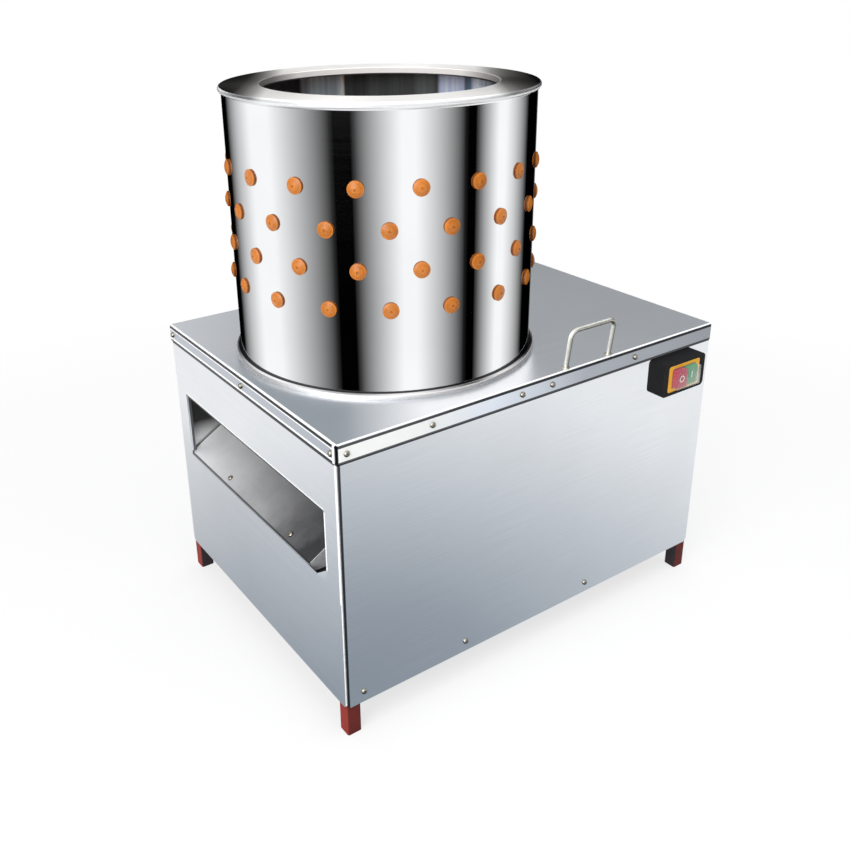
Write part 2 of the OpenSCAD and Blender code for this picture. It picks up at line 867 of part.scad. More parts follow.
module plate_bolts() {
    grip = plate_t + angle_t + 2 * seat;
    color(zinc) place() {
        translate([0, 0, lower_rail_z + plate_t + 2 * seat]) {
            at_plate_bolts(motor_x, motor_plate_pitch) hex_bolt(bolt_d, bolt_af, bolt_head_h, grip, nut_h);
        }
        for (z = bearing_seats) translate([0, 0, z]) {
            at_plate_bolts(drum_x, bearing_plate_pitch) hex_bolt(bolt_d, bolt_af, bolt_head_h, grip, nut_h);
        }
    }
}

module bearing_housings() {
    color(cast_grey) for (z = bearing_seats) at_drum(z) difference() {
        union() {
            linear_extrude(flange_t) round_rect(flange_w, flange_w, flange_margin);
            cylinder(d = housing_d, h = housing_h);
        }
        translate([0, 0, -cut]) cylinder(r = insert_d / 2 + seat, h = housing_h + 2 * cut);
        at_bearing_bolts() translate([0, 0, -cut]) cylinder(r = bolt_hole_r, h = flange_t + 2 * cut);
    }
}

module bearing_outer_races() {
    color(zinc) for (z = bearing_seats) at_drum(z + (housing_h - outer_race_h) / 2) {
        tube(insert_d / 2, inner_race_d / 2 + run_gap, outer_race_h);
    }
}

module bearing_inner_races() {
    color(zinc) for (z = bearing_seats) at_drum(z + (housing_h - inner_race_h) / 2) {
        tube(inner_race_d / 2, shaft_r + seat / 2, inner_race_h);
    }
}

module bearing_bolts() {
    color(zinc) for (z = bearing_seats) at_drum(z + flange_t + seat) at_bearing_bolts() {
        hex_bolt(bolt_d, bolt_af, bolt_head_h, flange_t + plate_t + 3 * seat, nut_h);
    }
}

// Drum

// Aims a finger's axis at the drum's axis from outside the wall, for row 1 (top) to row 4 (bottom)
module at_row(row) {
    z = cover_z + row_z + (row_total - row) * row_pitch;
    for (i = [0 : wall_count - 1]) {
        rotate(wall_start + 360 * (i + (row % 2 == 0 ? 0.5 : 0)) / wall_count) {
            translate([drum_r + seat, 0, z]) rotate([0, -90, 0]) children();
        }
    }
}

module drum_shell() {
    color(mirror_steel) at_drum() difference() {
        translate([0, 0, cover_z + seat]) tube(drum_r, drum_r - drum_t, drum_h - rim_t - 2 * seat);
        for (row = [1 : row_total]) at_row(row) {
            translate([0, 0, -head_h]) cylinder(r = neck_hole_r, h = head_d);
        }
    }
}

// Spun top ring: flat annulus, turned-down mouth edge and a rolled lip that the wall slips into
module drum_rim() {
    bead_x = drum_r + rim_lip - rim_bead_r;
    color(mirror_steel) at_drum(drum_top) rotate_extrude($fn = 120) difference() {
        union() {
            translate([mouth_d / 2 + rim_t, -rim_t]) square([bead_x - mouth_d / 2 - rim_t, rim_t]);
            translate([mouth_d / 2, -rim_drop]) square([rim_t, rim_drop - rim_t]);
            translate([mouth_d / 2 + rim_t, -rim_t]) intersection() {
                circle(rim_t);
                translate([-rim_t, 0]) square(rim_t);
            }
            translate([bead_x, -rim_bead_r]) circle(rim_bead_r);
        }
        translate([bead_x - 2 * rim_bead_r, -rim_drop - rim_bead_r]) {
            square([drum_r + seat - bead_x + 2 * rim_bead_r, rim_drop + rim_bead_r - rim_t]);
        }
    }
}

// Half-round base ring that holds the drum's foot to the cover
module drum_base_ring() {
    color(mirror_steel) at_drum(cover_z + seat) difference() {
        rotate_extrude($fn = 120) translate([drum_r + seat, 0]) {
            square([base_ring_w, base_ring_h - base_ring_w]);
            translate([0, base_ring_h - base_ring_w]) intersection() {
                circle(base_ring_w);
                square(base_ring_w);
            }
        }
        at_ring_screws() translate([0, 0, -cut]) {
            cylinder(r = ring_screw_d / 2 + bolt_play, h = base_ring_h / 2 + 2 * cut);
        }
    }
}

module base_ring_screws() {
    color(zinc) at_drum(cover_z - cover_t - seat) at_ring_screws() {
        cylinder(d = ring_screw_d, h = ring_screw_l);
        translate([0, 0, -ring_screw_d / 2]) cylinder(d = 2 * ring_screw_d, h = ring_screw_d / 2);
    }
}

// Ribbed outline of a finger past its shoulder: radius against height
function finger_r(t) = root_d / 2 + (tip_d - root_d) / 2 * t;
rib_step = 1 / (rib_count + 0.5);
finger_outline = concat(
    [[0, 0]],
    [for (i = [0 : rib_count - 1], k = [0, 0.6])
        [finger_r((i + k) * rib_step) + (k > 0 ? rib_h : 0), (i + k) * rib_step * finger_l]],
    [[finger_r(rib_count * rib_step), rib_count * rib_step * finger_l]],
    [[finger_r(1), 0.97 * finger_l], [0.6 * finger_r(1), finger_l], [0, finger_l]]
);

// One rubber finger: domed head below z = 0, neck through the sheet, shoulder and ribbed finger above
module finger(neck_l) {
    dome_h = head_h - head_edge;
    dome_r = (pow(head_d / 2, 2) + pow(dome_h, 2)) / (2 * dome_h);
    difference() {
        rotate_extrude() intersection() {
            translate([0, dome_r - head_h]) circle(dome_r);
            translate([0, -head_h]) square([head_d / 2, head_h]);
        }
        translate([0, 0, -head_h - cut]) cylinder(d = dimple_d, h = dimple_h + cut);
    }
    cylinder(d = neck_d, h = neck_l);
    translate([0, 0, neck_l]) cylinder(d = shoulder_d, h = shoulder_h);
    translate([0, 0, neck_l + shoulder_h]) rotate_extrude() polygon(finger_outline);
}

// The flat shoulder stops short of the curved inner wall
wall_neck_l = drum_r + seat - sqrt(pow(drum_r - drum_t - seat, 2) - pow(shoulder_d / 2, 2));

module wall_row(row) {
    color(rubber_orange) at_drum() at_row(row) finger(wall_neck_l);
}

module wall_fingers_row_1() { wall_row(1); }
module wall_fingers_row_2() { wall_row(2); }
module wall_fingers_row_3() { wall_row(3); }
module wall_fingers_row_4() { wall_row(4); }

// Feather path

// Sloping tray under the drum: turned-up sides, and an end wall that keeps water off the motor
module catch_tray() {
    wall_z = tray_top_z(tray_end_x) - 2 * panel_t;
    color(steel) place() difference() {
        union() {
            translate([tray_x, 0, tray_z]) rotate([0, -tray_angle, 0]) {
                translate([0, -tray_half_w, 0]) cube([tray_l, 2 * tray_half_w, panel_t]);
                for (y = [-tray_half_w, tray_half_w - panel_t]) translate([0, y, panel_t / 2]) {
                    cube([tray_l, panel_t, tray_side]);
                }
            }
            translate([tray_end_x - panel_t, -tray_half_w, wall_z]) {
                cube([panel_t, 2 * tray_half_w, frame_top - seat - wall_z]);
            }
        }
        translate([tray_end_x, -cabinet_w, 0]) cube([cabinet_l, 2 * cabinet_w, cabinet_l]);
        translate([drum_x, 0, 0]) cylinder(d = collar_d - 2 * collar_t, h = cover_z);
    }
}

// Upright collar on the tray that keeps feathers and water off the shaft
module shaft_collar() {
    foot_z = tray_top_z(drum_x);
    color(steel) at_drum(foot_z) difference() {
        translate([0, 0, -collar_d]) {
            tube(collar_d / 2, collar_d / 2 - collar_t, collar_top - foot_z + collar_d);
        }
        rotate([0, -tray_angle, 0]) translate([-collar_d, -collar_d, -4 * collar_d + seat]) {
            cube([2 * collar_d, 2 * collar_d, 4 * collar_d]);
        }
    }
}

// Upright side walls of the feather path, notched round the end rail
module chute_cheeks() {
    notch_x = -frame_x + angle_b + seat;
    notch_z = frame_top - angle_b - seat;
    color(steel) place() for (side = [-1, 1]) {
        translate([0, side * (cheek_out_y - panel_t / 2) + panel_t / 2, 0]) rotate([90, 0, 0]) {
            linear_extrude(panel_t) polygon([
                [-frame_x, outlet_z - cheek_drop / 2],
                [chute_end_x, chute_end_z - cheek_drop],
                [tray_end_x, tray_top_z(tray_end_x) - cheek_drop],
                [tray_end_x, frame_top - seat],
                [notch_x, frame_top - seat],
                [notch_x, notch_z],
                [-frame_x, notch_z]
            ]);
        }
    }
}

// Sloping outlet plate with a bent-down gusset at each end
module chute_plate() {
    rise = chute_l * sin(chute_angle);
    run = chute_l * cos(chute_angle);
    half_t = panel_t / 2;
    color(steel) place() difference() {
        translate([chute_x, 0, chute_foot_z]) {
            rotate([0, -chute_angle, 0]) translate([0, -chute_front, 0]) cube([chute_l, chute_w, panel_t]);
            for (y = [panel_t - chute_front, tray_half_w]) translate([0, y, 0]) rotate([90, 0, 0]) {
                linear_extrude(panel_t) polygon([
                    [half_t, half_t], [run, rise + half_t], [run, 0],
                    [run / 2, -gusset_drop], [half_t, -gusset_drop]
                ]);
            }
        }
        at_chute_screws() screw_hole();
    }
}

// Turntable

module drive_shaft() {
    color(zinc) at_drum() difference() {
        union() {
            translate([0, 0, shaft_z]) cylinder(r = shaft_r, h = disc_top - shaft_z);
            translate([0, 0, disc_top - cut]) cylinder(d = thread_d, h = thread_l + cut);
        }
        translate([0, 0, shaft_z - cut]) cylinder(r = bolt_hole_r, h = pulley_hub_l / 2 + cut);
    }
}

module at_disc_bolts() {
    for (i = [0 : disc_bolt_count - 1]) rotate(360 * i / disc_bolt_count) {
        translate([disc_bolt_pcd / 2, 0, 0]) children();
    }
}

module disc_hub() {
    color(cast_grey) at_drum() difference() {
        union() {
            translate([0, 0, hub_top - hub_flange_t]) cylinder(d = hub_flange_d, h = hub_flange_t);
            translate([0, 0, hub_z]) cylinder(d = hub_d, h = hub_l + cut);
        }
        translate([0, 0, hub_z - cut]) cylinder(r = shaft_r + seat / 2, h = hub_l + hub_flange_t + 2 * cut);
        translate([0, 0, hub_z]) at_disc_bolts() cylinder(r = disc_bolt_d / 2 + bolt_play, h = cover_z);
    }
}

module disc_bolts() {
    grip = disc_t + hub_flange_t + 2 * seat;
    color(zinc) at_drum(disc_top + seat) at_disc_bolts() {
        hex_bolt(disc_bolt_d, disc_bolt_af, 0.6 * disc_bolt_d, grip, 0.8 * disc_bolt_d);
    }
}

// Places of the disc's fingers, in three rings
module at_disc_fingers() {
    for (ring = [0 : ring_total - 1], i = [0 : ring_count * (ring + 1) - 1]) {
        rotate(360 * i / (ring_count * (ring + 1)) + ring_turn * ring) {
            translate([ring_r + ring * ring_step, 0, 0]) children();
        }
    }
}

module plucking_disc() {
    color(steel) at_drum(disc_z) difference() {
        cylinder(r = disc_r, h = disc_t);
        translate([0, 0, -cut]) cylinder(r = shaft_r + seat, h = disc_t + 2 * cut);
        translate([0, 0, -cut]) {
            at_disc_bolts() cylinder(r = disc_bolt_d / 2 + bolt_play, h = disc_t + 2 * cut);
            at_disc_fingers() cylinder(r = neck_hole_r, h = disc_t + 2 * cut);
        }
    }
}

module disc_fingers() {
    color(rubber_orange) at_drum(disc_z - seat) at_disc_fingers() finger(disc_t + 2 * seat);
}

// Domed cap nut and its washer on the shaft's threaded top
module disc_nut() {
    nut_af = 1.5 * thread_d;
    chamfer = 1;
    dome_r = nut_af / 2 - chamfer;
    color(zinc) at_drum(disc_top + seat) {
        tube(nut_af / 2 + washer_rim, thread_d / 2 + seat, disc_washer_t);
        translate([0, 0, disc_washer_t + seat]) difference() {
            union() {
                hexagon(nut_af, thread_l);
                translate([0, 0, thread_l]) intersection() {
                    sphere(dome_r);
                    cylinder(r = dome_r, h = dome_r);
                }
            }
            translate([0, 0, -cut]) cylinder(r = thread_d / 2 + seat, h = thread_l - disc_washer_t + 2 * cut);
        }
    }
}

// Groove for the belt in a rim of outside radius r, in half section
module groove_cut(r) {
    bottom_half = groove_half - groove_slope * groove_h;
    polygon([
        [r + cut, groove_half + cut * groove_slope], [r + cut, -groove_half - cut * groove_slope],
        [r - groove_h, -bottom_half], [r - groove_h, bottom_half]
    ]);
}

module driven_pulley() {
    hub_r = pulley_hub_d / 2;
    bore_r = shaft_r + seat / 2;
    rim_in = driven_r - pulley_rim_t;
    web_mid = (hub_r + rim_in) / 2;
    color(cast_grey) at_drum(belt_z) difference() {
        rotate_extrude($fn = 120) difference() {
            union() {
                translate([rim_in, -rim_w / 2]) square([pulley_rim_t, rim_w]);
                translate([hub_r - cut, -web_t / 2]) square([rim_in - hub_r + 2 * cut, web_t]);
                translate([bore_r, -pulley_hub_l / 2]) square([hub_r - bore_r, pulley_hub_l]);
            }
            groove_cut(driven_r);
        }
        for (i = [0 : web_hole_count - 1]) rotate(360 * i / web_hole_count) {
            translate([web_mid, 0, -web_t]) cylinder(d = web_hole_d, h = 2 * web_t);
        }
    }
}

// Bolt and washer in the shaft's lower end that hold the pulley on
module pulley_bolt() {
    washer_t = 4;
    color(zinc) at_drum(shaft_z - seat) rotate([180, 0, 0]) {
        tube(shaft_r + washer_rim, bolt_hole_r, washer_t);
        translate([0, 0, washer_t + seat]) {
            hexagon(bolt_af, bolt_head_h);
            translate([0, 0, -pulley_hub_l / 2]) cylinder(d = bolt_d, h = pulley_hub_l / 2);
        }
    }
}

// Section of the belt whose back runs at radius r, shrunk by thin on every side
module belt_section(r, thin = 0) {
    top = belt_w / 2 - thin;
    foot = (belt_w - belt_taper) / 2 - thin;
    polygon([[r - thin, top], [r - thin, -top], [r - belt_h + thin, -foot], [r - belt_h + thin, foot]]);
}

// The straight runs lap into the arcs and are a hair thinner, so that they end inside them
module drive_belt() {
    lap = 1;
    thin = 0.02;
    color(belt_black) at_drum(belt_z) {
        rotate(90 - belt_lean) rotate_extrude(angle = 180 + 2 * belt_lean) belt_section(driven_r);
        translate([belt_span, 0, 0]) rotate(belt_lean - 90) {
            rotate_extrude(angle = 180 - 2 * belt_lean) belt_section(drive_r);
        }
        for (side = [-1, 1]) rotate([90, 0, 90 - side * belt_lean]) translate([0, 0, -lap]) {
            linear_extrude(belt_run_l + 2 * lap) mirror([side < 0 ? 1 : 0, 0]) belt_section(driven_r, thin);
        }
    }
}

// Motor

module motor_bore(h) {
    translate([0, 0, -cut]) cylinder(r = motor_bore_r, h = h + 2 * cut);
}

module motor_housing() {
    pad_inset = 8;
    pad_w = terminal_w - 2 * pad_inset;
    color(motor_blue) at_motor(housing_z) difference() {
        union() {
            linear_extrude(motor_l) {
                circle(motor_core_r);
                for (i = [0 : fin_count - 1]) rotate(360 * i / fin_count) {
                    translate([0, -fin_t / 2]) square([motor_fin_r, fin_t]);
                }
            }
            translate([-pad_w / 2, -terminal_pad, (motor_l - terminal_h) / 2]) {
                cube([pad_w, terminal_pad, terminal_h]);
            }
        }
        motor_bore(motor_l);
    }
}

// Shield with a pocket for its bearing, open towards the housing
module bearing_pocket(z) {
    translate([0, 0, z]) cylinder(r = motor_bearing_d / 2 + seat, h = motor_bearing_h + seat);
}

module motor_flange() {
    color(motor_blue) at_motor(motor_z) difference() {
        union() {
            cylinder(d = motor_flange_d, h = motor_flange_t);
            translate([0, 0, -spigot_h]) cylinder(r = spigot_r, h = spigot_h + cut);
        }
        translate([0, 0, -spigot_h]) motor_bore(motor_flange_t + spigot_h);
        bearing_pocket(motor_flange_t - motor_bearing_h);
        translate([0, 0, -cut]) at_motor_bolts() cylinder(r = bolt_hole_r, h = motor_flange_t + 2 * cut);
    }
}

module motor_end_shield() {
    color(motor_blue) at_motor(shield_z) difference() {
        cylinder(r = motor_fin_r - fan_cover_t - seat, h = end_shield_t);
        motor_bore(end_shield_t);
        bearing_pocket(-seat);
    }
}

module motor_bearings() {
    color(zinc) for (z = [housing_z - motor_bearing_h - seat, shield_z]) at_motor(z) {
        tube(motor_bearing_d / 2, motor_shaft_r + seat / 2, motor_bearing_h - seat);
    }
}

// Pressed fan cover with radial vent slots in its crown
module fan_cover() {
    crown_z = end_shield_t + fan_cover_h;
    slot_w = 5;
    color(motor_blue) at_motor(shield_z + seat) difference() {
        cylinder(r = motor_fin_r, h = crown_z);
        translate([0, 0, -cut]) cylinder(r = motor_fin_r - fan_cover_t, h = crown_z - fan_cover_t + cut);
        for (i = [0 : vent_count - 1]) rotate(360 * i / vent_count) {
            translate([motor_fin_r / 2 - slot_w, -slot_w / 2, crown_z - 2 * fan_cover_t]) {
                cube([motor_fin_r / 2 - slot_w, slot_w, 3 * fan_cover_t]);
            }
        }
    }
}

module terminal_box() {
    lid_t = 8;
    lid_r = 6;
    brim = 3;
    color(motor_blue) at_motor(terminal_z) translate([0, -terminal_pad - seat, 0]) rotate([90, 0, 0]) {
        linear_extrude(terminal_d - lid_t) {
            round_rect(terminal_w - 2 * brim, terminal_h - 2 * brim, lid_r - brim / 2);
        }
        translate([0, 0, terminal_d - lid_t]) linear_extrude(lid_t) round_rect(terminal_w, terminal_h, lid_r);
    }
}

module motor_bolts() {
    color(zinc) at_motor(motor_z + motor_flange_t + seat) at_motor_bolts() {
        hex_bolt(bolt_d, bolt_af, bolt_head_h, motor_flange_t + plate_t + 3 * seat, nut_h);
    }
}

module motor_shaft() {
    stub = 2;
    foot_z = belt_z - rim_w / 2 - stub;
    color(zinc) at_motor(foot_z) cylinder(r = motor_shaft_r, h = fan_z + fan_h - foot_z);
}

module motor_fan() {
    back_t = 3;
    blade_t = 3;
    hub_wall = 8;
    hub_r = motor_shaft_r + hub_wall;
    blade_r = motor_fin_r - fan_cover_t - fan_play;
    color(belt_black) at_motor(fan_z) difference() {
        union() {
            cylinder(r = hub_r, h = fan_h);
            cylinder(r = blade_r, h = back_t);
            for (i = [0 : blade_count - 1]) rotate(360 * (i + 0.5) / blade_count) {
                translate([hub_r - 2 * cut, -blade_t / 2, back_t / 2]) {
                    cube([blade_r - hub_r, blade_t, fan_h - 2 * back_t]);
                }
            }
        }
        translate([0, 0, -cut]) cylinder(r = motor_shaft_r + seat / 2, h = fan_h + 2 * cut);
    }
}

module motor_pulley() {
    color(cast_grey) at_motor(belt_z) rotate_extrude() difference() {
        translate([motor_shaft_r + seat / 2, -rim_w / 2]) square([drive_r - motor_shaft_r - seat / 2, rim_w]);
        groove_cut(drive_r);
    }
}

// Switch

// Lays a flat shape on the front panel, extruding outwards
module at_switch(depth = 0) {
    place() translate([switch_x, -panel_out_y - seat - depth, switch_z]) rotate([90, 0, 0]) children();
}

module at_button(side) {
    translate([side * button_pitch / 2, 0, 0]) children();
}

module switch_box() {
    color([0.06, 0.06, 0.06]) at_switch() difference() {
        linear_extrude(switch_d) round_rect(switch_w, switch_h, switch_r);
        translate([0, 0, face_floor]) linear_extrude(switch_d) {
            round_rect(face_w + 2 * seat, face_h + 2 * seat, face_r);
        }
        for (side = [-1, 1]) at_button(side) translate([0, 0, switch_d - well_h]) linear_extrude(well_h) {
            square([well_w, well_b], center = true);
        }
    }
}

module switch_plate() {
    color([0.95, 0.68, 0.10]) at_switch(switch_d - face_t) linear_extrude(face_t) difference() {
        round_rect(face_w, face_h, face_r);
        round_rect(boot_w + 2 * seat, boot_h + 2 * seat, boot_r);
    }
}

// Clear rubber boot: a brim clamped under the plate and a thin hood over both buttons
module button_boot() {
    hood_h = boot_flange_t + face_t + boot_stand;
    color([0.85, 0.88, 0.86, 0.35]) at_switch(face_floor) difference() {
        union() {
            linear_extrude(boot_flange_t) round_rect(boot_w + 2 * boot_brim, boot_h + 2 * boot_brim, face_r);
            linear_extrude(hood_h) round_rect(boot_w, boot_h, boot_r);
        }
        translate([0, 0, -cut]) linear_extrude(hood_h - boot_t + cut) {
            round_rect(boot_in_w, boot_in_h, boot_r - boot_t);
        }
    }
}

module push_button(side, stand) {
    at_switch(switch_d - button_in) at_button(side) linear_extrude(button_in + stand) {
        round_rect(button_w, button_h, button_r);
    }
}

module stop_button() {
    color([0.78, 0.12, 0.20]) push_button(-1, stop_stand);
}

module start_button() {
    color([0.16, 0.62, 0.33]) push_button(1, start_stand);
}

// Handles

// Bent rod welded to the cover by its feet: legs, bends and a grip bar, leaning towards -Y
module handle() {
    half = handle_w / 2;
    leg_l = handle_h - handle_bend;
    knee_x = half - handle_bend;
    difference() {
        rotate([handle_lean, 0, 0]) {
            for (side = [-1, 1]) translate([side * half, 0, -handle_d]) {
                cylinder(r = handle_r, h = leg_l + handle_d);
            }
            for (side = [0, 1]) translate([(1 - 2 * side) * knee_x, 0, leg_l]) rotate([90, 0, 0]) {
                rotate(90 * side) rotate_extrude(angle = 90) translate([handle_bend, 0]) circle(handle_r);
            }
            translate([handle_bend - half, 0, leg_l + handle_bend]) rotate([0, 90, 0]) {
                cylinder(r = handle_r, h = handle_w - 2 * handle_bend);
            }
        }
        translate([-handle_w, -handle_w, seat - 2 * handle_w]) cube(2 * handle_w);
    }
}

module front_handle() {
    color(mirror_steel) place() translate([handle_x, -handle_y, cover_z]) handle();
}

module rear_handle() {
    color(mirror_steel) place() translate([handle_x, handle_y, cover_z]) mirror([0, 1, 0]) handle();
}

module sheet_screws() {
    color(zinc) place() {
        at_skirt_screws() pan_screw();
        at_foot_screws() pan_screw();
        at_chute_screws() pan_screw();
    }
}

// Gland body through the rear panel, domed clamping nut outside and locknut inside
module cable_gland() {
    body_h = gland_reach / 3;
    nut_reach = gland_reach - body_h;
    thread_r = gland_thread_d / 2;
    thread_in = 12;
    lock_h = 5;
    nut_step = 1;
    cap_t = 4;
    wall = 0.5 * (gland_thread_d - gland_bore);
    color(belt_black) place() {
        translate([half_l - gland_inset, panel_out_y, gland_z]) rotate([-90, 0, 0]) {
            difference() {
                union() {
                    translate([0, 0, seat]) hexagon(gland_thread_d + wall, body_h);
                    translate([0, 0, -thread_in]) cylinder(r = thread_r, h = thread_in + cut);
                    translate([0, 0, body_h]) cylinder(r = thread_r - nut_step, h = nut_reach - cap_t);
                }
                translate([0, 0, -thread_in - cut]) {
                    cylinder(d = gland_bore, h = thread_in + gland_reach + 2 * cut);
                }
            }
            translate([0, 0, body_h + 2 * seat]) difference() {
                union() {
                    hexagon(gland_thread_d + wall, nut_reach / 2);
                    cylinder(r = thread_r + nut_step, h = nut_reach - 2 * seat);
                }
                translate([0, 0, -cut]) cylinder(r = thread_r - nut_step + seat, h = nut_reach - cap_t + cut);
                cylinder(d = gland_bore, h = gland_reach);
            }
            translate([0, 0, -panel_t - seat - lock_h]) difference() {
                hexagon(gland_thread_d + wall, lock_h);
                translate([0, 0, -cut]) cylinder(r = thread_r + seat, h = lock_h + 2 * cut);
            }
        }
    }
}

cover();
outlet_panel();
front_panel();
rear_panel();
motor_end_panel();
leg_front_left();
leg_front_right();
leg_rear_left();
leg_rear_right();
top_rails();
bottom_rails();
bearing_rails();
motor_rails();
bearing_plates();
motor_plate();
plate_bolts();
bearing_housings();
bearing_outer_races();
bearing_bolts();
drum_shell();
drum_rim();
drum_base_ring();
base_ring_screws();
wall_fingers_row_1();
wall_fingers_row_2();
wall_fingers_row_3();
wall_fingers_row_4();
catch_tray();
shaft_collar();
chute_cheeks();
chute_plate();
drive_shaft();
bearing_inner_races();
disc_hub();
plucking_disc();
disc_fingers();
disc_bolts();
disc_nut();
driven_pulley();
pulley_bolt();
drive_belt();
motor_housing();
motor_flange();
motor_end_shield();
motor_bearings();
fan_cover();
terminal_box();
motor_bolts();
motor_shaft();
motor_fan();
motor_pulley();
switch_box();
switch_plate();
button_boot();
stop_button();
start_button();
front_handle();
rear_handle();
sheet_screws();
cable_gland();
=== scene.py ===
import bmesh
import bpy
import math
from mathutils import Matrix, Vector


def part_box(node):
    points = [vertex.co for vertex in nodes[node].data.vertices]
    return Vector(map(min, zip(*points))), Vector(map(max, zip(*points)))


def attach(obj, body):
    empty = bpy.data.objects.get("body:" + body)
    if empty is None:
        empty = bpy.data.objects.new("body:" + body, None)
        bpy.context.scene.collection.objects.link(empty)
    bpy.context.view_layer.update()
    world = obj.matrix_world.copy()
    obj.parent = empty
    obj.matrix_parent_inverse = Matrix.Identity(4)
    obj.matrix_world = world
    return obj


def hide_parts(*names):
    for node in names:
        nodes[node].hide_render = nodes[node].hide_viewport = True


# Drum poultry plucker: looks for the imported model

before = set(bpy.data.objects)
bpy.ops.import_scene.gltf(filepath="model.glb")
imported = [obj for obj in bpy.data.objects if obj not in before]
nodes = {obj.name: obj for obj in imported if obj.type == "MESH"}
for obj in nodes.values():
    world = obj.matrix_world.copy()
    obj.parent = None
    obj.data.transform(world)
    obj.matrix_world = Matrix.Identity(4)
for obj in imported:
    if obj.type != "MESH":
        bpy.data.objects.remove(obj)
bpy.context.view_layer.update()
print("frame loaded:", len(nodes), "nodes")

# Camera at the photographed angle, turned in degrees, its lens and sensor in millimetres
photoCamera = {
    "place": (-0.98042, -1.29062, 1.13755), "turn": (67.5361, 0.7027, -34.9885),
    "lens": 40.319, "sensor": 36, "shift": (0.0257, -0.0861), "farClip": 60,
}
bpy.ops.object.camera_add(location=photoCamera["place"],
                          rotation=[math.radians(a) for a in photoCamera["turn"]])
camera = bpy.context.object
camera.name = "photoCamera"
camera.data.sensor_width = photoCamera["sensor"]
camera.data.lens = photoCamera["lens"]
camera.data.shift_x, camera.data.shift_y = photoCamera["shift"]
camera.data.clip_end = photoCamera["farClip"]
bpy.context.scene.camera = camera
bpy.context.scene.view_settings.view_transform = "Standard"
print("camera set")


# Node helpers. A value is a socket to link, or a number, vector or colour to set
def feed(tree, node, inputs):
    for key, value in inputs.items():
        socket = node.inputs[key]
        if isinstance(value, bpy.types.NodeSocket):
            tree.links.new(value, socket)
        else:
            socket.default_value = (*value, 1) if socket.type == "RGBA" else value


def addNode(tree, kind, inputs=None, **settings):
    node = tree.nodes.new(kind)
    for key, value in settings.items():
        setattr(node, key, value)
    feed(tree, node, inputs or {})
    return node


def startMaterial(name):
    mat = bpy.data.materials.new(name)
    mat.use_nodes = True
    return mat, mat.node_tree


def paint(mat, inputs):
    feed(mat.node_tree, mat.node_tree.nodes["Principled BSDF"], inputs)
    return mat


def objectSpace(tree, scale=(1, 1, 1)):
    place = addNode(tree, "ShaderNodeTexCoord").outputs["Object"]
    return addNode(tree, "ShaderNodeMapping", {"Vector": place, "Scale": scale}).outputs["Vector"]


def coordinate(tree, axis):
    return addNode(tree, "ShaderNodeSeparateXYZ", {"Vector": objectSpace(tree)}).outputs[axis]


def noiseAt(tree, vector, scale, detail, rough):
    return addNode(tree, "ShaderNodeTexNoise", {
        "Vector": vector, "Scale": scale, "Detail": detail, "Roughness": rough}).outputs["Fac"]


def rampOver(tree, value, stops):
    ramp = addNode(tree, "ShaderNodeValToRGB", {"Fac": value})
    bars = ramp.color_ramp.elements
    while len(bars) < len(stops):
        bars.new(0.5)
    for bar, (at, colour) in zip(bars, stops):
        bar.position = at
        bar.color = (*colour, 1)
    return ramp.outputs["Color"]


def rangeOver(tree, value, low, high, fromLow=0.0, fromHigh=1.0):
    return addNode(tree, "ShaderNodeMapRange", {
        "Value": value, "From Min": fromLow, "From Max": fromHigh,
        "To Min": low, "To Max": high}).outputs["Result"]


def mixColours(tree, factor, first, second, how="MIX"):
    return addNode(tree, "ShaderNodeMix", {0: factor, 6: first, 7: second},
                   data_type="RGBA", blend_type=how).outputs[2]


def mixShaders(tree, factor, first, second):
    return addNode(tree, "ShaderNodeMixShader", {0: factor, 1: first, 2: second}).outputs[0]


def bumpFrom(tree, height, strength, distance):
    return addNode(tree, "ShaderNodeBump", {
        "Height": height, "Strength": strength, "Distance": distance}).outputs["Normal"]


# Sum, product or the like of values
def calculate(tree, operation, *values):
    inputs = dict(enumerate(values))
    return addNode(tree, "ShaderNodeMath", inputs, operation=operation).outputs[0]


# Length of a vector, or its distance or dot product with another
def measure(tree, operation, *vectors):
    inputs = dict(enumerate(vectors))
    return addNode(tree, "ShaderNodeVectorMath", inputs, operation=operation).outputs["Value"]


# Half the width over which a painted band fades out, in metres
softEdge = 0.0002
# Colours of painted shade along folds and of painted highlights on edges
paintedShade, paintedHighlight = (0.02, 0.02, 0.025), (0.98, 0.98, 0.98)


# One where a coordinate lies between low and high, with soft ends
def axisBand(tree, axis, low, high):
    place = coordinate(tree, axis)
    above = rangeOver(tree, place, 0.0, 1.0, low - softEdge, low + softEdge)
    below = rangeOver(tree, place, 1.0, 0.0, high - softEdge, high + softEdge)
    return calculate(tree, "MULTIPLY", above, below)


# A line across an axis, in a shade and a depth of it, kept within other bands
def lineAt(axis, low, high, depth=1.0, shade=paintedShade, within=()):
    return {"axis": axis, "span": (low, high), "depth": depth, "shade": shade, "within": within}


def lineMask(tree, line):
    mask = axisBand(tree, line["axis"], *line["span"])
    for gate in line["within"]:
        mask = calculate(tree, "MULTIPLY", mask, axisBand(tree, *gate))
    return mask


def drawLines(tree, colour, lines):
    for line in lines:
        share = rangeOver(tree, lineMask(tree, line), 0.0, line["depth"])
        colour = mixColours(tree, share, colour, line["shade"])
    return colour


# Brushed grain of sheet steel: noise scale along it and across it, and how it roughens the face
sheetGrain = {"along": 6, "across": 900, "bump": (0.05, 0.0002)}


def grainNoise(tree, axis):
    stretch = [sheetGrain["along" if way == axis else "across"] for way in "xyz"]
    return noiseAt(tree, objectSpace(tree, stretch), 1.0, 3.0, 0.6)
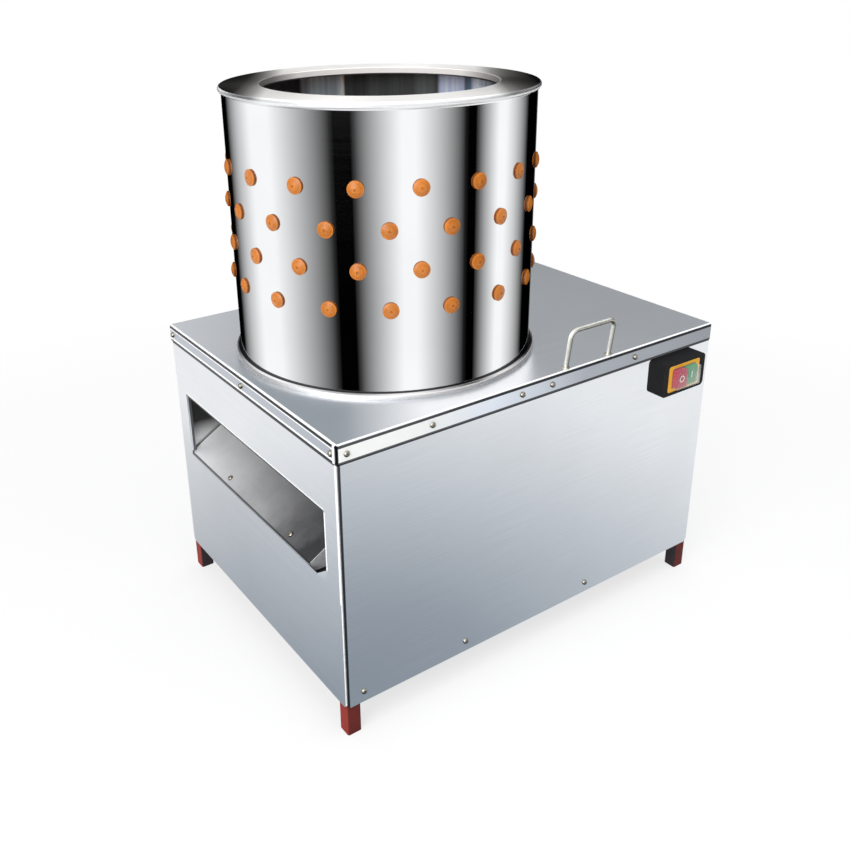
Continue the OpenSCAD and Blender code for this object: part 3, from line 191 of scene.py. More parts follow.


# Satin sheet: fine grain along one axis and handling smudges, and where asked a darkening along given
# spans, a painted sheen along the skirts, lines of painted shade and painted highlights on edges
def satinSheet(name, grain, tint, folds=(), sheen=None, dull=(0.26, 0.38), edges=(), darkening=None):
    mat, tree = startMaterial(name)
    fine = grainNoise(tree, grain)
    cloud = noiseAt(tree, objectSpace(tree), 5.0, 4.0, 0.55)
    dark, light, smudge = [tuple(min(1, share * c) for c in tint) for share in (0.93, 1.05, 0.9)]
    colour = rampOver(tree, fine, [(0.25, dark), (0.75, light)])
    colour = mixColours(tree, rangeOver(tree, cloud, 0.0, 0.25, 0.45, 0.75), colour, smudge)
    if darkening:
        share = 1.0
        for axis, span in darkening["spans"]:
            place = rangeOver(tree, coordinate(tree, axis), 0.0, 1.0, *span)
            share = calculate(tree, "MULTIPLY", place, share)
        colour = mixColours(tree, share, colour, darkening["shade"], "MULTIPLY")
    wearAndPaintedHighlight = 0.0
    # Painted sheen along the skirts
    if sheen:
        along = rangeOver(tree, coordinate(tree, "X"), 0.0, 1.0, *sheen["span"])
        skirt = axisBand(tree, "Z", *sheen["height"])
        colour = mixColours(tree, skirt, colour, rampOver(tree, along, sheen["stops"]))
        wearAndPaintedHighlight = calculate(tree, "MULTIPLY", skirt, rampOver(tree, along, sheen["highlightShare"]))
    colour = drawLines(tree, colour, folds)
    # Painted highlights on edges, white and less metallic
    for line in edges:
        mask = lineMask(tree, line)
        colour = mixColours(tree, mask, colour, paintedHighlight)
        wearAndPaintedHighlight = calculate(tree, "MAXIMUM", mask, wearAndPaintedHighlight)
    return paint(mat, {
        "Base Color": colour,
        "Metallic": rangeOver(tree, wearAndPaintedHighlight, 1.0, 0.1) if edges else 1.0,
        "Roughness": calculate(tree, "ADD", rangeOver(tree, fine, -0.05, 0.05),
                               rangeOver(tree, cloud, *dull)),
        "Normal": bumpFrom(tree, fine, *sheetGrain["bump"]),
    })


# Sheet in the feathers' path: satin steel, with painted shade growing from one end of an axis to the
# other
def shadeGradedSheet(name, axis, span, ownTone, shadedTone, lines=()):
    mat, tree = startMaterial(name)
    cloud = noiseAt(tree, objectSpace(tree), 11.0, 4.0, 0.6)
    fine = grainNoise(tree, "y")
    along = calculate(tree, "ADD", rangeOver(tree, coordinate(tree, axis), 0.0, 1.0, *span),
                      rangeOver(tree, cloud, -0.08, 0.08, 0.3, 0.7))
    middle = tuple((a + b) / 2 for a, b in zip(ownTone, shadedTone))
    colour = rampOver(tree, along, [(0.0, ownTone), (0.5, middle), (1.0, shadedTone)])
    colour = mixColours(tree, rangeOver(tree, fine, 0.0, 0.12), colour, shadedTone)
    return paint(mat, {
        "Base Color": drawLines(tree, colour, lines),
        "Metallic": 0.4,
        "Roughness": rangeOver(tree, cloud, 0.34, 0.48),
        "Normal": bumpFrom(tree, fine, *sheetGrain["bump"]),
    })


# Vector from the drum's axis out to the shaded point, level with it
def fromDrumAxis(tree):
    flat = addNode(tree, "ShaderNodeVectorMath", {0: objectSpace(tree), 1: (1, 1, 0)},
                   operation="MULTIPLY").outputs[0]
    return addNode(tree, "ShaderNodeVectorMath", {0: flat, 1: (*drumAxis, 0)},
                   operation="SUBTRACT").outputs[0]


# The way across the drum, from left to right for the camera
acrossWay = (0.833, -0.553, 0)


# Place along that way, as a share of a reach to both sides
def acrossDrum(tree, vector, reach):
    return rangeOver(tree, measure(tree, "DOT_PRODUCT", vector, acrossWay), 0.0, 1.0, -reach, reach)


# Drum wall: polished outside with faint lines round it; within a radius, painted reflections of pale
# and dark streaked bands
def drumWall(reflectionWithin, bands):
    mat, tree = startMaterial("drumSteel")
    lines = noiseAt(tree, objectSpace(tree, (2, 2, 260)), 1.0, 2.0, 0.5)
    haze = noiseAt(tree, objectSpace(tree), 7.0, 3.0, 0.5)
    polished = rampOver(tree, haze, [(0.3, (0.90, 0.91, 0.93)), (0.7, (0.955, 0.96, 0.97))])
    smooth = calculate(tree, "ADD", rangeOver(tree, lines, 0.0, 0.035),
                       rangeOver(tree, haze, 0.045, 0.08))
    away = fromDrumAxis(tree)
    inside = rangeOver(tree, measure(tree, "LENGTH", away), 1.0, 0.0,
                       reflectionWithin - softEdge, reflectionWithin + softEdge)
    # Painted reflection in bands across the inner wall, streaked
    insideReflection = rampOver(tree, acrossDrum(tree, away, reflectionWithin),
                   [((1 + at) / 2, shade) for at, shade in bands])
    streaks = noiseAt(tree, objectSpace(tree, (30, 30, 0.8)), 1.0, 3.0, 0.6)
    streaky = rampOver(tree, streaks, [(0.35, (0.55, 0.55, 0.56)), (0.5, (1, 1, 1)),
                                    (0.65, (1.5, 1.55, 1.5))])
    insideReflection = mixColours(tree, 1.0, insideReflection, streaky, "MULTIPLY")
    return paint(mat, {
        "Base Color": mixColours(tree, inside, polished, insideReflection),
        "Metallic": rangeOver(tree, inside, 1.0, 0.15),
        "Roughness": calculate(tree, "MAXIMUM", smooth, rangeOver(tree, inside, 0.0, 0.5)),
    })


# Rim spun on a lathe: reflections drawn out across the turning marks, with a painted reflection dark at
# two ends, a dull lip in the mouth painted pale as a painted highlight, with a painted shade line at
# its foot and painted shade towards its ends
def spunRim(form):
    mat, tree = startMaterial("rimSteel")
    away = fromDrumAxis(tree)
    spread = measure(tree, "LENGTH", away)
    marks = addNode(tree, "ShaderNodeTexNoise", {"W": spread, "Scale": 900.0, "Detail": 3.0},
                    noise_dimensions="1D").outputs["Fac"]
    colour = rampOver(tree, marks, [(0.3, (0.90, 0.91, 0.92)), (0.7, (0.98, 0.985, 0.985))])
    # Painted reflection: the top and the lip dark towards the ends across the drum
    place = acrossDrum(tree, away, form["reach"])
    ends, lipEnds = [
        rampOver(tree, place, [((1 + at / form["reach"]) / 2, (b, 0.97 * b, 0.94 * b))
                               for at, b in form[key]])
        for key in ("shade", "lipShade")]
    flat = rangeOver(tree, spread, 1.0, 0.0, form["bead"], form["bead"] + form["beadFade"])
    colour = mixColours(tree, flat, colour, mixColours(tree, 1.0, colour, ends, "MULTIPLY"))
    lipEdge = form["mouth"] + form["sheet"]
    lip = rangeOver(tree, spread, 1.0, 0.0, lipEdge, lipEdge + form["lipFade"])
    foot = form["top"] - form["drop"]
    # Painted shade line at the foot of the lip
    hemLine = lineAt("Z", foot - form["hem"][0], foot + form["hem"][1], 0.97)
    hem = drawLines(tree, (0.97, 0.97, 0.97), [hemLine])
    hem = mixColours(tree, 1.0, hem, lipEnds, "MULTIPLY")
    # Less metallic where not darkened, so that it renders whiter: painted highlight
    pale = rangeOver(tree, ends, 1.0, 0.5, 0.75, 1.0)
    return paint(mat, {
        "Base Color": mixColours(tree, lip, colour, hem),
        "Specular Tint": mixColours(tree, flat, (1, 1, 1), ends),
        "Metallic": calculate(tree, "MINIMUM", pale, rangeOver(tree, lip, 1.0, 0.05)),
        "Roughness": rangeOver(tree, marks, 0.30, 0.40),
        "Anisotropic": 0.9,
        "Tangent": away,
    })


# Shades a colour on the faces that turn a given way: painted shade
def shadeFaces(tree, colour, way, span, shade):
    normal = addNode(tree, "ShaderNodeTexCoord").outputs["Normal"]
    facing = measure(tree, "DOT_PRODUCT", normal, way)
    return mixColours(tree, rangeOver(tree, facing, 0.0, 1.0, *span), colour, shade)


# Bent rod, drawn, with painted shade on the faces turned down
def drawnRod():
    mat, tree = startMaterial("rodSteel")
    draw = noiseAt(tree, objectSpace(tree), 130.0, 4.0, 0.6)
    colour = rampOver(tree, draw, [(0.3, (0.78, 0.77, 0.71)), (0.7, (0.94, 0.93, 0.88))])
    # Painted shade on the rod's faces turned down
    colour = shadeFaces(tree, colour, (0.3, -0.3, -0.9), (0.08, 0.5), (0.08, 0.065, 0.045))
    return paint(mat, {
        "Base Color": colour,
        "Metallic": 1.0,
        "Roughness": rangeOver(tree, draw, 0.38, 0.5),
    })


# Brushed-on red paint with dull patches and chips, with painted shade where it runs under the cover's
# skirts
def brushedRed(name, faces=()):
    mat, tree = startMaterial(name)
    patch = noiseAt(tree, objectSpace(tree), 22.0, 5.0, 0.6)
    streaky = noiseAt(tree, objectSpace(tree, (60, 60, 9)), 1.0, 4.0, 0.6)
    colour = rampOver(tree, patch, [(0.3, (0.17, 0.015, 0.010)), (0.6, (0.30, 0.030, 0.020))])
    chips = rangeOver(tree, streaky, 0.0, 1.0, 0.68, 0.74)
    colour = mixColours(tree, chips, colour, (0.10, 0.035, 0.03))
    colour = drawLines(tree, colour, faces)
    # Painted shade under the cover
    covered = axisBand(tree, "Z", coverLow[2], coverHigh[2])
    return paint(mat, {
        "Base Color": mixColours(tree, covered, colour, paintedShade),
        "Roughness": rangeOver(tree, patch, 0.5, 0.7),
        "Specular IOR Level": 0.25,
        "Normal": bumpFrom(tree, streaky, 0.25, 0.0006),
    })


# Moulded orange rubber; each head that stands out from the drum has painted shade round its foot and
# painted highlights on its dome
fingerHead = 0.0065


def orangeRubber(wall):
    mat, tree = startMaterial("orangeRubber")
    bloom = noiseAt(tree, objectSpace(tree), 60.0, 2.0, 0.5)
    colour = rampOver(tree, bloom, [(0.25, (0.46, 0.14, 0.014)), (0.75, (0.61, 0.195, 0.022))])
    spread = measure(tree, "LENGTH", fromDrumAxis(tree))
    height = rangeOver(tree, spread, 0.0, 1.0, wall, wall + fingerHead)
    # Painted shade and painted highlights by height above the wall
    shade = rampOver(tree, height, [
        (0.0, (1, 1, 1)), (0.02, (0.42, 0.36, 0.3)), (0.34, (0.55, 0.48, 0.42)),
        (0.5, (1.1, 1.12, 1.2)), (0.74, (0.92, 0.86, 0.8)), (1.0, (1.05, 1.1, 1.3))])
    return paint(mat, {
        "Base Color": mixColours(tree, 1.0, colour, shade, "MULTIPLY"),
        "Roughness": rangeOver(tree, bloom, 0.30, 0.42),
    })


# Zinc-plated hardware, where asked with painted shade on its lower faces
def zincPlate(name, shadedBelow):
    mat, tree = startMaterial(name)
    spangle = noiseAt(tree, objectSpace(tree), 160.0, 3.0, 0.6)
    colour = rampOver(tree, spangle, [(0.3, (0.36, 0.32, 0.25)), (0.7, (0.66, 0.62, 0.54))])
    if shadedBelow:
        # Painted shade on the lower faces
        colour = shadeFaces(tree, colour, (0.0, 0.0, -1.0), (-0.1, 0.2), (0.02, 0.018, 0.012))
    return paint(mat, {
        "Base Color": colour,
        "Metallic": 1.0,
        "Roughness": rangeOver(tree, spangle, 0.24, 0.42),
    })


# Cast iron with a coarse sand skin
def castIron():
    mat, tree = startMaterial("castIron")
    sand = noiseAt(tree, objectSpace(tree), 240.0, 5.0, 0.65)
    return paint(mat, {
        "Base Color": rampOver(tree, sand, [(0.3, (0.055, 0.058, 0.062)),
                                            (0.75, (0.12, 0.125, 0.13))]),
        "Metallic": 0.6,
        "Roughness": rangeOver(tree, sand, 0.5, 0.75),
        "Normal": bumpFrom(tree, sand, 0.5, 0.0008),
    })


# Enamel on the motor, with orange peel
def motorEnamel():
    mat, tree = startMaterial("motorEnamel")
    peel = noiseAt(tree, objectSpace(tree), 210.0, 3.0, 0.5)
    dust = noiseAt(tree, objectSpace(tree), 14.0, 4.0, 0.6)
    return paint(mat, {
        "Base Color": rampOver(tree, dust, [(0.35, (0.035, 0.075, 0.115)),
                                            (0.7, (0.07, 0.115, 0.155))]),
        "Roughness": rangeOver(tree, dust, 0.3, 0.5),
        "Normal": bumpFrom(tree, peel, 0.15, 0.0003),
    })


# Fine-textured moulded plastic
def mouldedPlastic(name, tint, rough, texture):
    mat, tree = startMaterial(name)
    leather = noiseAt(tree, objectSpace(tree), 700.0, 3.0, 0.6)
    wearAndPaintedHighlight = noiseAt(tree, objectSpace(tree), 45.0, 3.0, 0.5)
    dark = tuple(0.82 * c for c in tint)
    return paint(mat, {
        "Base Color": rampOver(tree, wearAndPaintedHighlight, [(0.3, dark), (0.7, tint)]),
        "Roughness": rangeOver(tree, wearAndPaintedHighlight, rough - 0.05, rough + 0.08),
        "Specular IOR Level": 0.35,
        "Normal": bumpFrom(tree, leather, texture, 0.0002),
    })


# Wrapped belt cloth
def beltRubber():
    mat, tree = startMaterial("beltRubber")
    weave = noiseAt(tree, objectSpace(tree), 420.0, 3.0, 0.6)
    return paint(mat, {
        "Base Color": rampOver(tree, weave, [(0.3, (0.010, 0.010, 0.010)),
                                             (0.8, (0.035, 0.034, 0.033))]),
        "Roughness": rangeOver(tree, weave, 0.6, 0.85),
        "Normal": bumpFrom(tree, weave, 0.4, 0.0004),
    })


# Clear soft hood over the buttons, gone milky towards one lower corner
def clearHood(low, high):
    mat, tree = startMaterial("clearHood")
    smear = noiseAt(tree, objectSpace(tree), 120.0, 3.0, 0.6)
    milky = calculate(tree, "MULTIPLY",
                      rangeOver(tree, coordinate(tree, "X"), 0.15, 1.0, low[0], high[0]),
                      rangeOver(tree, coordinate(tree, "Z"), 1.0, 0.25, low[2], high[2]))
    return paint(mat, {
        "Base Color": rampOver(tree, smear, [(0.3, (0.84, 0.85, 0.84)), (0.8, (0.95, 0.95, 0.94))]),
        "Roughness": rangeOver(tree, smear, 0.08, 0.26),
        "IOR": 1.45,
        "Alpha": rangeOver(tree, milky, 0.02, 0.30),
    })


coverLow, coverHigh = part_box("cover")
drumLow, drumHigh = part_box("drum_shell")
drumAxis = ((drumLow[0] + drumHigh[0]) / 2, (drumLow[1] + drumHigh[1]) / 2)
drumRadius = (drumHigh[0] - drumLow[0]) / 2
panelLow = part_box("front_panel")[0]
endLow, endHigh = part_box("outlet_panel")
chuteLow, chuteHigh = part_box("chute_plate")
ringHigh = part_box("drum_base_ring")[1]
legLow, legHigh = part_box("leg_front_left")
# How far a painted band reaches past a face, and into the sheet behind it
past, into = 0.001, 0.0006
# Painted shade: dark lines where the cover folds, at its near-corner notch and along its far edge
foldTop, foldFoot = coverHigh[2] - 0.0022, coverLow[2]
coverTop = ("Z", coverHigh[2] - 0.0016, coverHigh[2] + past)
skirtBand = ("Z", foldFoot, coverHigh[2])
outletFace = ("X", coverLow[0] - past, coverLow[0] + into)
coverFolds = [
    lineAt("Z", foldTop - 0.0042, foldTop, 0.96),
    lineAt("Z", foldFoot, foldFoot + 0.002, 0.92),
    lineAt("Z", foldFoot, foldFoot + 0.0030, 0.95, within=[outletFace]),
    lineAt("X", coverLow[0] + 0.003, coverLow[0] + 0.0046, 0.98,
           within=[("Y", coverLow[1] - past, coverLow[1] + 0.003), skirtBand]),
    lineAt("Y", coverHigh[1] - 0.004, coverHigh[1] + past, 0.7, within=[coverTop]),
]
# Painted highlights: the cover's rolled edges, and the outlet end's skirt along its folds and
# beside the near corner
coverEdges = [lineAt(axis, at - width, at + width, within=[coverTop]) for axis, at, width in (
    ("X", coverLow[0], 0.0045), ("X", coverHigh[0], 0.0045), ("Y", coverLow[1], 0.0035))]
coverEdges += [
    lineAt("Z", foldFoot + 0.0032, foldFoot + 0.0068, within=[outletFace]),
    lineAt("Z", foldTop - 0.0064, foldTop - 0.0044, within=[outletFace]),
    lineAt("Y", coverLow[1] + 0.003, coverLow[1] + 0.009, within=[outletFace, skirtBand]),
]
# Painted sheen on the skirts: white and less metallic at the near corner, dulling off along the switch
# side
skirtSheen = {
    "span": (coverLow[0], coverHigh[0]), "height": (foldFoot, foldTop),
    "stops": [(0.0, (0.52, 0.55, 0.60)), (0.003, (0.52, 0.55, 0.60)), (0.0045, (0.98, 0.98, 0.955)),
              (0.2, (0.96, 0.97, 0.96)), (0.35, (0.86, 0.91, 0.99)), (0.6, (0.43, 0.455, 0.50)),
              (1.0, (0.316, 0.337, 0.367))],
    "highlightShare": [(0.003, (0, 0, 0)), (0.0045, (1, 1, 1)), (0.15, (0.9, 0.9, 0.9)), (0.34, (0, 0, 0))],
}
# Painted shadow of the skirt on the side panels, and painted shade in their fold at the near corner
sideFolds = [
    lineAt("Z", foldFoot - 0.004, coverHigh[2], 0.95),
    lineAt("X", panelLow[0], panelLow[0] + 0.0045, 0.94),
]
# The outlet's opening and the corner plate in it. On the end panels, the skirt's painted shadow,
# painted shade on the outlet's hem and along its top edge, and a painted highlight on the far edge
endMiddle = (endLow[1] + endHigh[1]) / 2
outlet = {"near": endMiddle - 0.250, "far": endMiddle + 0.250, "foot": 0.268, "top": 0.392}
cornerPlate = {"along": 0.030, "up": 0.022, "sheet": 0.003, "edge": 0.0005}
endFace = ("X", endLow[0] - past, endLow[0] + into)
outletWidth = ("Y", outlet["near"], outlet["far"])
endFolds = [
    lineAt("Z", foldFoot - 0.0048, coverHigh[2], 0.95),
    lineAt("X", endLow[0] + 0.0032, endLow[0] + 0.02, 0.9, (0.05, 0.05, 0.055)),
    lineAt("Y", endHigh[1] - 0.003, endHigh[1], 0.9, paintedHighlight),
    lineAt("Z", outlet["top"] - past, outlet["top"] + 0.0030, 0.92, within=[endFace, outletWidth]),
]
# Painted highlights on the outlet end: beside the near corner, over the outlet's top edge and along its
# near edge
endEdges = [
    lineAt("Y", endLow[1] - past, endLow[1] + 0.0052, within=[("Z", 0.25, foldFoot - 0.003)]),
    lineAt("Y", endLow[1] - past, endLow[1] + 0.0022, within=[("Z", 0.0, foldFoot - 0.003)]),
    lineAt("Z", outlet["top"] + 0.0030, outlet["top"] + 0.0052, within=[endFace, outletWidth]),
    lineAt("Y", outlet["near"] - 0.0035, outlet["near"],
           within=[endFace, ("Z", outlet["foot"] + cornerPlate["up"], outlet["top"])]),
]
# End panels: darker towards the foot and away from the near corner
endDarkening = {"spans": [("Z", (0.38, 0.27)), ("Y", (-0.28, 0.05))], "shade": (0.79, 0.79, 0.80)}
# Legs: painted shade on their faces under the cabinet, and a lighter painted shade on the faces on the
# switch side
legFaces = [lineAt(axis, at - past, at + past, depth, shade) for axis, at, depth, shade in (
    ("Y", legLow[1], 0.6, (0.04, 0.006, 0.004)),
    ("Y", legHigh[1], 0.96, paintedShade), ("Y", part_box("leg_rear_left")[0][1], 0.96, paintedShade),
    ("X", legHigh[0], 0.96, paintedShade), ("X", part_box("leg_front_right")[0][0], 0.96, paintedShade))]
# Chute: the gusset's face kept pale, painted shade along its far edge and low edge, and painted shadow
# at the gusset's foot
chuteLines = [
    lineAt("Y", chuteLow[1] - past, chuteLow[1] + past, 1.0, (0.9, 0.9, 0.9)),
    lineAt("Y", chuteHigh[1] - 0.004, chuteHigh[1] + past, 0.9),
    lineAt("X", chuteLow[0] - past, chuteLow[0] + 0.0025, 0.8),
    lineAt("Z", chuteLow[2] - past, outlet["foot"] - 0.014, 0.97),
]
# Painted reflections on the drum's inner wall: bands by place across it, and the depth under its
# outside where they end
wallDepth = 0.0008
insideReflectionBands = [
    (-1.0, (0.03, 0.035, 0.05)), (-0.58, (0.035, 0.04, 0.055)), (-0.56, (0.70, 0.90, 1.0)),
    (-0.29, (0.70, 0.88, 1.0)), (-0.283, (1.0, 1.0, 1.0)), (-0.268, (1.0, 1.0, 1.0)),
    (-0.26, (0.065, 0.075, 0.078)), (0.42, (0.07, 0.08, 0.08)), (0.435, (0.60, 0.68, 0.90)),
    (0.60, (0.62, 0.70, 0.92)), (0.615, (0.12, 0.18, 0.28)), (0.65, (0.12, 0.18, 0.28)),
    (0.67, (0.75, 0.85, 1.0)), (0.77, (0.75, 0.85, 1.0)), (0.80, (0.06, 0.09, 0.13)),
    (1.0, (0.03, 0.04, 0.05)),
]
# The rim's form, and the painted reflection that darkens its top and its lip towards the ends across
# the drum
rimForm = {
    "mouth": 0.190, "sheet": 0.0015, "drop": 0.012, "bead": 0.2525, "beadFade": 0.0006,
    "lipFade": 0.0003, "hem": (0.001, 0.0022), "reach": 0.26, "top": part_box("drum_rim")[1][2],
    "shade": [(-0.255, 0.02), (-0.235, 0.05), (-0.215, 0.16), (-0.20, 0.40), (-0.185, 0.75),
              (-0.165, 1.0), (0.165, 1.0), (0.19, 0.75), (0.205, 0.5), (0.22, 0.36), (0.236, 0.24),
              (0.255, 0.03)],
    "lipShade": [(-0.19, 0.2), (-0.175, 0.3), (-0.14, 1.0), (0.14, 1.0), (0.175, 0.45), (0.19, 0.3)],
}
# Painted shade where the base ring meets the drum wall
ringFolds = [lineAt("Z", ringHigh[2] - past, ringHigh[2] + past, 0.95)]

finishes = {mat.name: mat for mat in (
    satinSheet("coverSteel", "x", (0.74, 0.765, 0.80), coverFolds, skirtSheen, edges=coverEdges),
    satinSheet("sideSteel", "x", (0.855, 0.875, 0.90), sideFolds),
    satinSheet("endSteel", "y", (0.835, 0.855, 0.88), endFolds, edges=endEdges, darkening=endDarkening),
    satinSheet("pathSteel", "y", (0.70, 0.71, 0.73)),
    shadeGradedSheet("chuteSteel", "Y", (0.22, -0.16), (0.98, 0.98, 0.99), (0.045, 0.045, 0.048),
                 chuteLines),
    shadeGradedSheet("cheekSteel", "Z", (0.280, 0.330), (0.97, 0.97, 0.97), (0.015, 0.015, 0.015)),
    drumWall(drumRadius - wallDepth, insideReflectionBands),
    satinSheet("ringSteel", "z", (0.82, 0.81, 0.815), ringFolds, dull=(0.5, 0.6)),
    spunRim(rimForm),
    drawnRod(),
    brushedRed("frameRed"),
    brushedRed("legRed", legFaces),
    orangeRubber(drumRadius),
    zincPlate("zincPlate", False),
    zincPlate("screwZinc", True),
    castIron(),
    motorEnamel(),
    beltRubber(),
    mouldedPlastic("blackPlastic", (0.0022, 0.0022, 0.0026), 0.72, 0.25),
    mouldedPlastic("yellowPlastic", (0.95, 0.47, 0.02), 0.42, 0.05),
    mouldedPlastic("redPlastic", (0.48, 0.012, 0.06), 0.4, 0.03),
    mouldedPlastic("greenPlastic", (0.015, 0.30, 0.10), 0.32, 0.03),
    clearHood(*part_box("button_boot")),
    mouldedPlastic("markWhite", (0.82, 0.82, 0.80), 0.4, 0.02),
)}
wears = {
    "coverSteel": ["cover"],
    "sideSteel": ["front_panel", "rear_panel"],
    "endSteel": ["outlet_panel", "motor_end_panel"],
    "pathSteel": ["catch_tray", "shaft_collar", "plucking_disc"],
    "chuteSteel": ["chute_plate"],
    "cheekSteel": ["chute_cheeks"],
    "drumSteel": ["drum_shell"],
    "ringSteel": ["drum_base_ring"],
    "rimSteel": ["drum_rim"],
    "rodSteel": ["front_handle", "rear_handle"],
    "legRed": ["leg_front_left", "leg_front_right", "leg_rear_left", "leg_rear_right"],
    "frameRed": ["top_rails", "bottom_rails", "bearing_rails", "motor_rails", "bearing_plates",
                 "motor_plate"],
    "orangeRubber": ["wall_fingers_row_1", "wall_fingers_row_2", "wall_fingers_row_3",
                     "wall_fingers_row_4", "disc_fingers"],
    "zincPlate": ["plate_bolts", "bearing_bolts", "base_ring_screws", "disc_bolts", "disc_nut",
                  "pulley_bolt", "motor_bolts", "sheet_screws", "drive_shaft", "motor_shaft",
                  "bearing_outer_races", "bearing_inner_races", "motor_bearings"],
    "castIron": ["bearing_housings", "disc_hub", "driven_pulley", "motor_pulley"],
    "motorEnamel": ["motor_housing", "motor_flange", "motor_end_shield", "fan_cover", "terminal_box"],
    "beltRubber": ["drive_belt"],
    "blackPlastic": ["switch_box", "cable_gland", "motor_fan"],
    "yellowPlastic": ["switch_plate"],
    "redPlastic": ["stop_button"],
    "greenPlastic": ["start_button"],
    "clearHood": ["button_boot"],
}
for finish, names in wears.items():
    for name in names:
        skins = nodes[name].data.materials
        skins.clear()
        skins.append(finishes[finish])
# The switch keeps out of the panel's shine
for name in ("switch_box", "switch_plate", "button_boot", "stop_button", "start_button"):
    nodes[name].visible_glossy = False
bare = [n for n in nodes if not any(n in names for names in wears.values())]
print("finishes on", sum(len(n) for n in wears.values()), "nodes; bare:", bare)


# Deselects everything, so that operators touch only the next piece
def clearSelection():
    if bpy.context.object and bpy.context.object.mode != "OBJECT":
        bpy.ops.object.mode_set(mode="OBJECT")
    bpy.ops.object.select_all(action="DESELECT")


# In edit mode, selects the edges or faces that pass a test
def pick(piece, kind, test):
    mesh = bmesh.from_edit_mesh(piece.data)
    bpy.ops.mesh.select_all(action="DESELECT")
    for part in {"edges": mesh.edges, "faces": mesh.faces}[kind]:
        if test(part):
            part.select_set(True)
    bmesh.update_edit_mesh(piece.data)


def facesDown(face):
    return face.normal.z < -0.9


# How far an edge runs along an axis
def edgeRun(edge, axis):
    return abs(edge.verts[0].co[axis] - edge.verts[1].co[axis])


def pickAll(pieces):
    clearSelection()
    for piece in pieces:
        piece.select_set(True)
    bpy.context.view_layer.objects.active = pieces[0]


# Puts the selected piece's place, turn and scale into its mesh
def applyPlace():
    bpy.ops.object.transform_apply(location=True, rotation=True, scale=True)


# Names a piece, rides it on a body and gives it its finish. Edges under an angle look smooth
smoothUnder = math.radians(35)


def settle(piece, name, body, finish):
    pickAll([piece])
    applyPlace()
    bpy.ops.object.shade_smooth_by_angle(angle=smoothUnder)
    piece.name = name
    piece.data.name = name
    piece.data.materials.clear()
    piece.data.materials.append(finishes[finish])
    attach(piece, body)


# Pan-head screw with a cross recess, pointing down, its head just above z = 0. Each one is turned
# on by a step, in degrees, from the one before
panScrew = {
    "sides": 28, "headD": 0.0095, "headH": 0.0032, "edge": 0.0008, "seat": 0.0001,
    "shankD": 0.005, "shankL": 0.012, "tip": 0.001,
    "crossL": 0.0056, "crossW": 0.0011, "crossH": 0.0018, "crossTaper": 0.55, "turnStep": 37,
}
tiny = 1e-5


def makePanScrew(size):
    clearSelection()
    bpy.ops.mesh.primitive_cylinder_add(vertices=size["sides"], radius=size["headD"] / 2,
                                        depth=size["headH"],
                                        location=(0, 0, size["seat"] + size["headH"] / 2))
    screw = bpy.context.object
    top = size["headH"] / 2
    bpy.ops.object.mode_set(mode="EDIT")
    pick(screw, "edges", lambda e: all(v.co.z > top - tiny for v in e.verts))
    bpy.ops.mesh.bevel(offset=size["headH"] - size["edge"], segments=5, affect="EDGES")
    pick(screw, "faces", facesDown)
    bpy.ops.mesh.inset(thickness=(size["headD"] - size["shankD"]) / 2)
    bpy.ops.mesh.extrude_region_move(TRANSFORM_OT_translate={"value": (0, 0, -size["shankL"])})
    bpy.ops.mesh.inset(thickness=size["tip"])
    bpy.ops.transform.translate(value=(0, 0, -size["tip"]))
    bpy.ops.object.mode_set(mode="OBJECT")
    applyPlace()
    cutters = []
    for turn in (0, 90):
        clearSelection()
        bpy.ops.mesh.primitive_cube_add(size=1, location=(0, 0, size["seat"] + size["headH"]),
                                        rotation=(0, 0, math.radians(turn)))
        cutter = bpy.context.object
        cutter.scale = (size["crossL"], size["crossW"], 2 * size["crossH"])
        applyPlace()
        bpy.ops.object.mode_set(mode="EDIT")
        pick(cutter, "faces", facesDown)
        bpy.ops.transform.resize(value=(size["crossTaper"], size["crossTaper"], 1))
        bpy.ops.object.mode_set(mode="OBJECT")
        cutters.append(cutter)
    for cutter in cutters:
        pickAll([screw])
        cross = screw.modifiers.new("cross", "BOOLEAN")
        cross.object = cutter
        cross.solver = "EXACT"
        bpy.ops.object.modifier_apply(modifier=cross.name)
        bpy.data.objects.remove(cutter)
    return screw


# Where the screws sit: distances from the outlet end along the sides, and across the ends, in metres
screwRows = {
    "skirt": (0.018, 0.167, 0.343, 0.407, 0.598), "skirtUp": 0.013,
    "foot": (0.034, 0.237, 0.515), "footUp": 0.020, "endInset": 0.014,
    "chuteY": (-0.115, 0.109), "chuteUp": 0.014, "chuteAngle": 31.0, "chuteSheet": 0.0012,
}


def screwPlaces(rows):
    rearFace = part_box("rear_panel")[1][1]
    left, right = coverLow[0], coverHigh[0]
    front, rear = coverLow[1], coverHigh[1]
    middle = (front + rear) / 2
    skirtZ, footZ = coverLow[2] + rows["skirtUp"], panelLow[2] + rows["footUp"]
    quarter = math.radians(90)
    places = []
    for along in rows["skirt"]:
        places += [((left + along, front, skirtZ), (quarter, 0, 0)),
                   ((left + along, rear, skirtZ), (-quarter, 0, 0))]
    for along in rows["foot"]:
        places += [((left + along, panelLow[1], footZ), (quarter, 0, 0)),
                   ((left + along, rearFace, footZ), (-quarter, 0, 0))]
    for across in (front + rows["endInset"], middle, rear - rows["endInset"]):
        places += [((left, across, skirtZ), (0, -quarter, 0)),
                   ((right, across, skirtZ), (0, quarter, 0))]
    slope = math.radians(rows["chuteAngle"])
    chuteX = chuteLow[0] + rows["chuteUp"] * math.cos(slope)
    run = chuteHigh[0] - rows["chuteSheet"] * math.sin(slope) - chuteX
    chuteZ = chuteHigh[2] - run * math.tan(slope)
    for across in rows["chuteY"]:
        places.append(((chuteX, middle + across, chuteZ), (0, -slope, 0)))
    return places


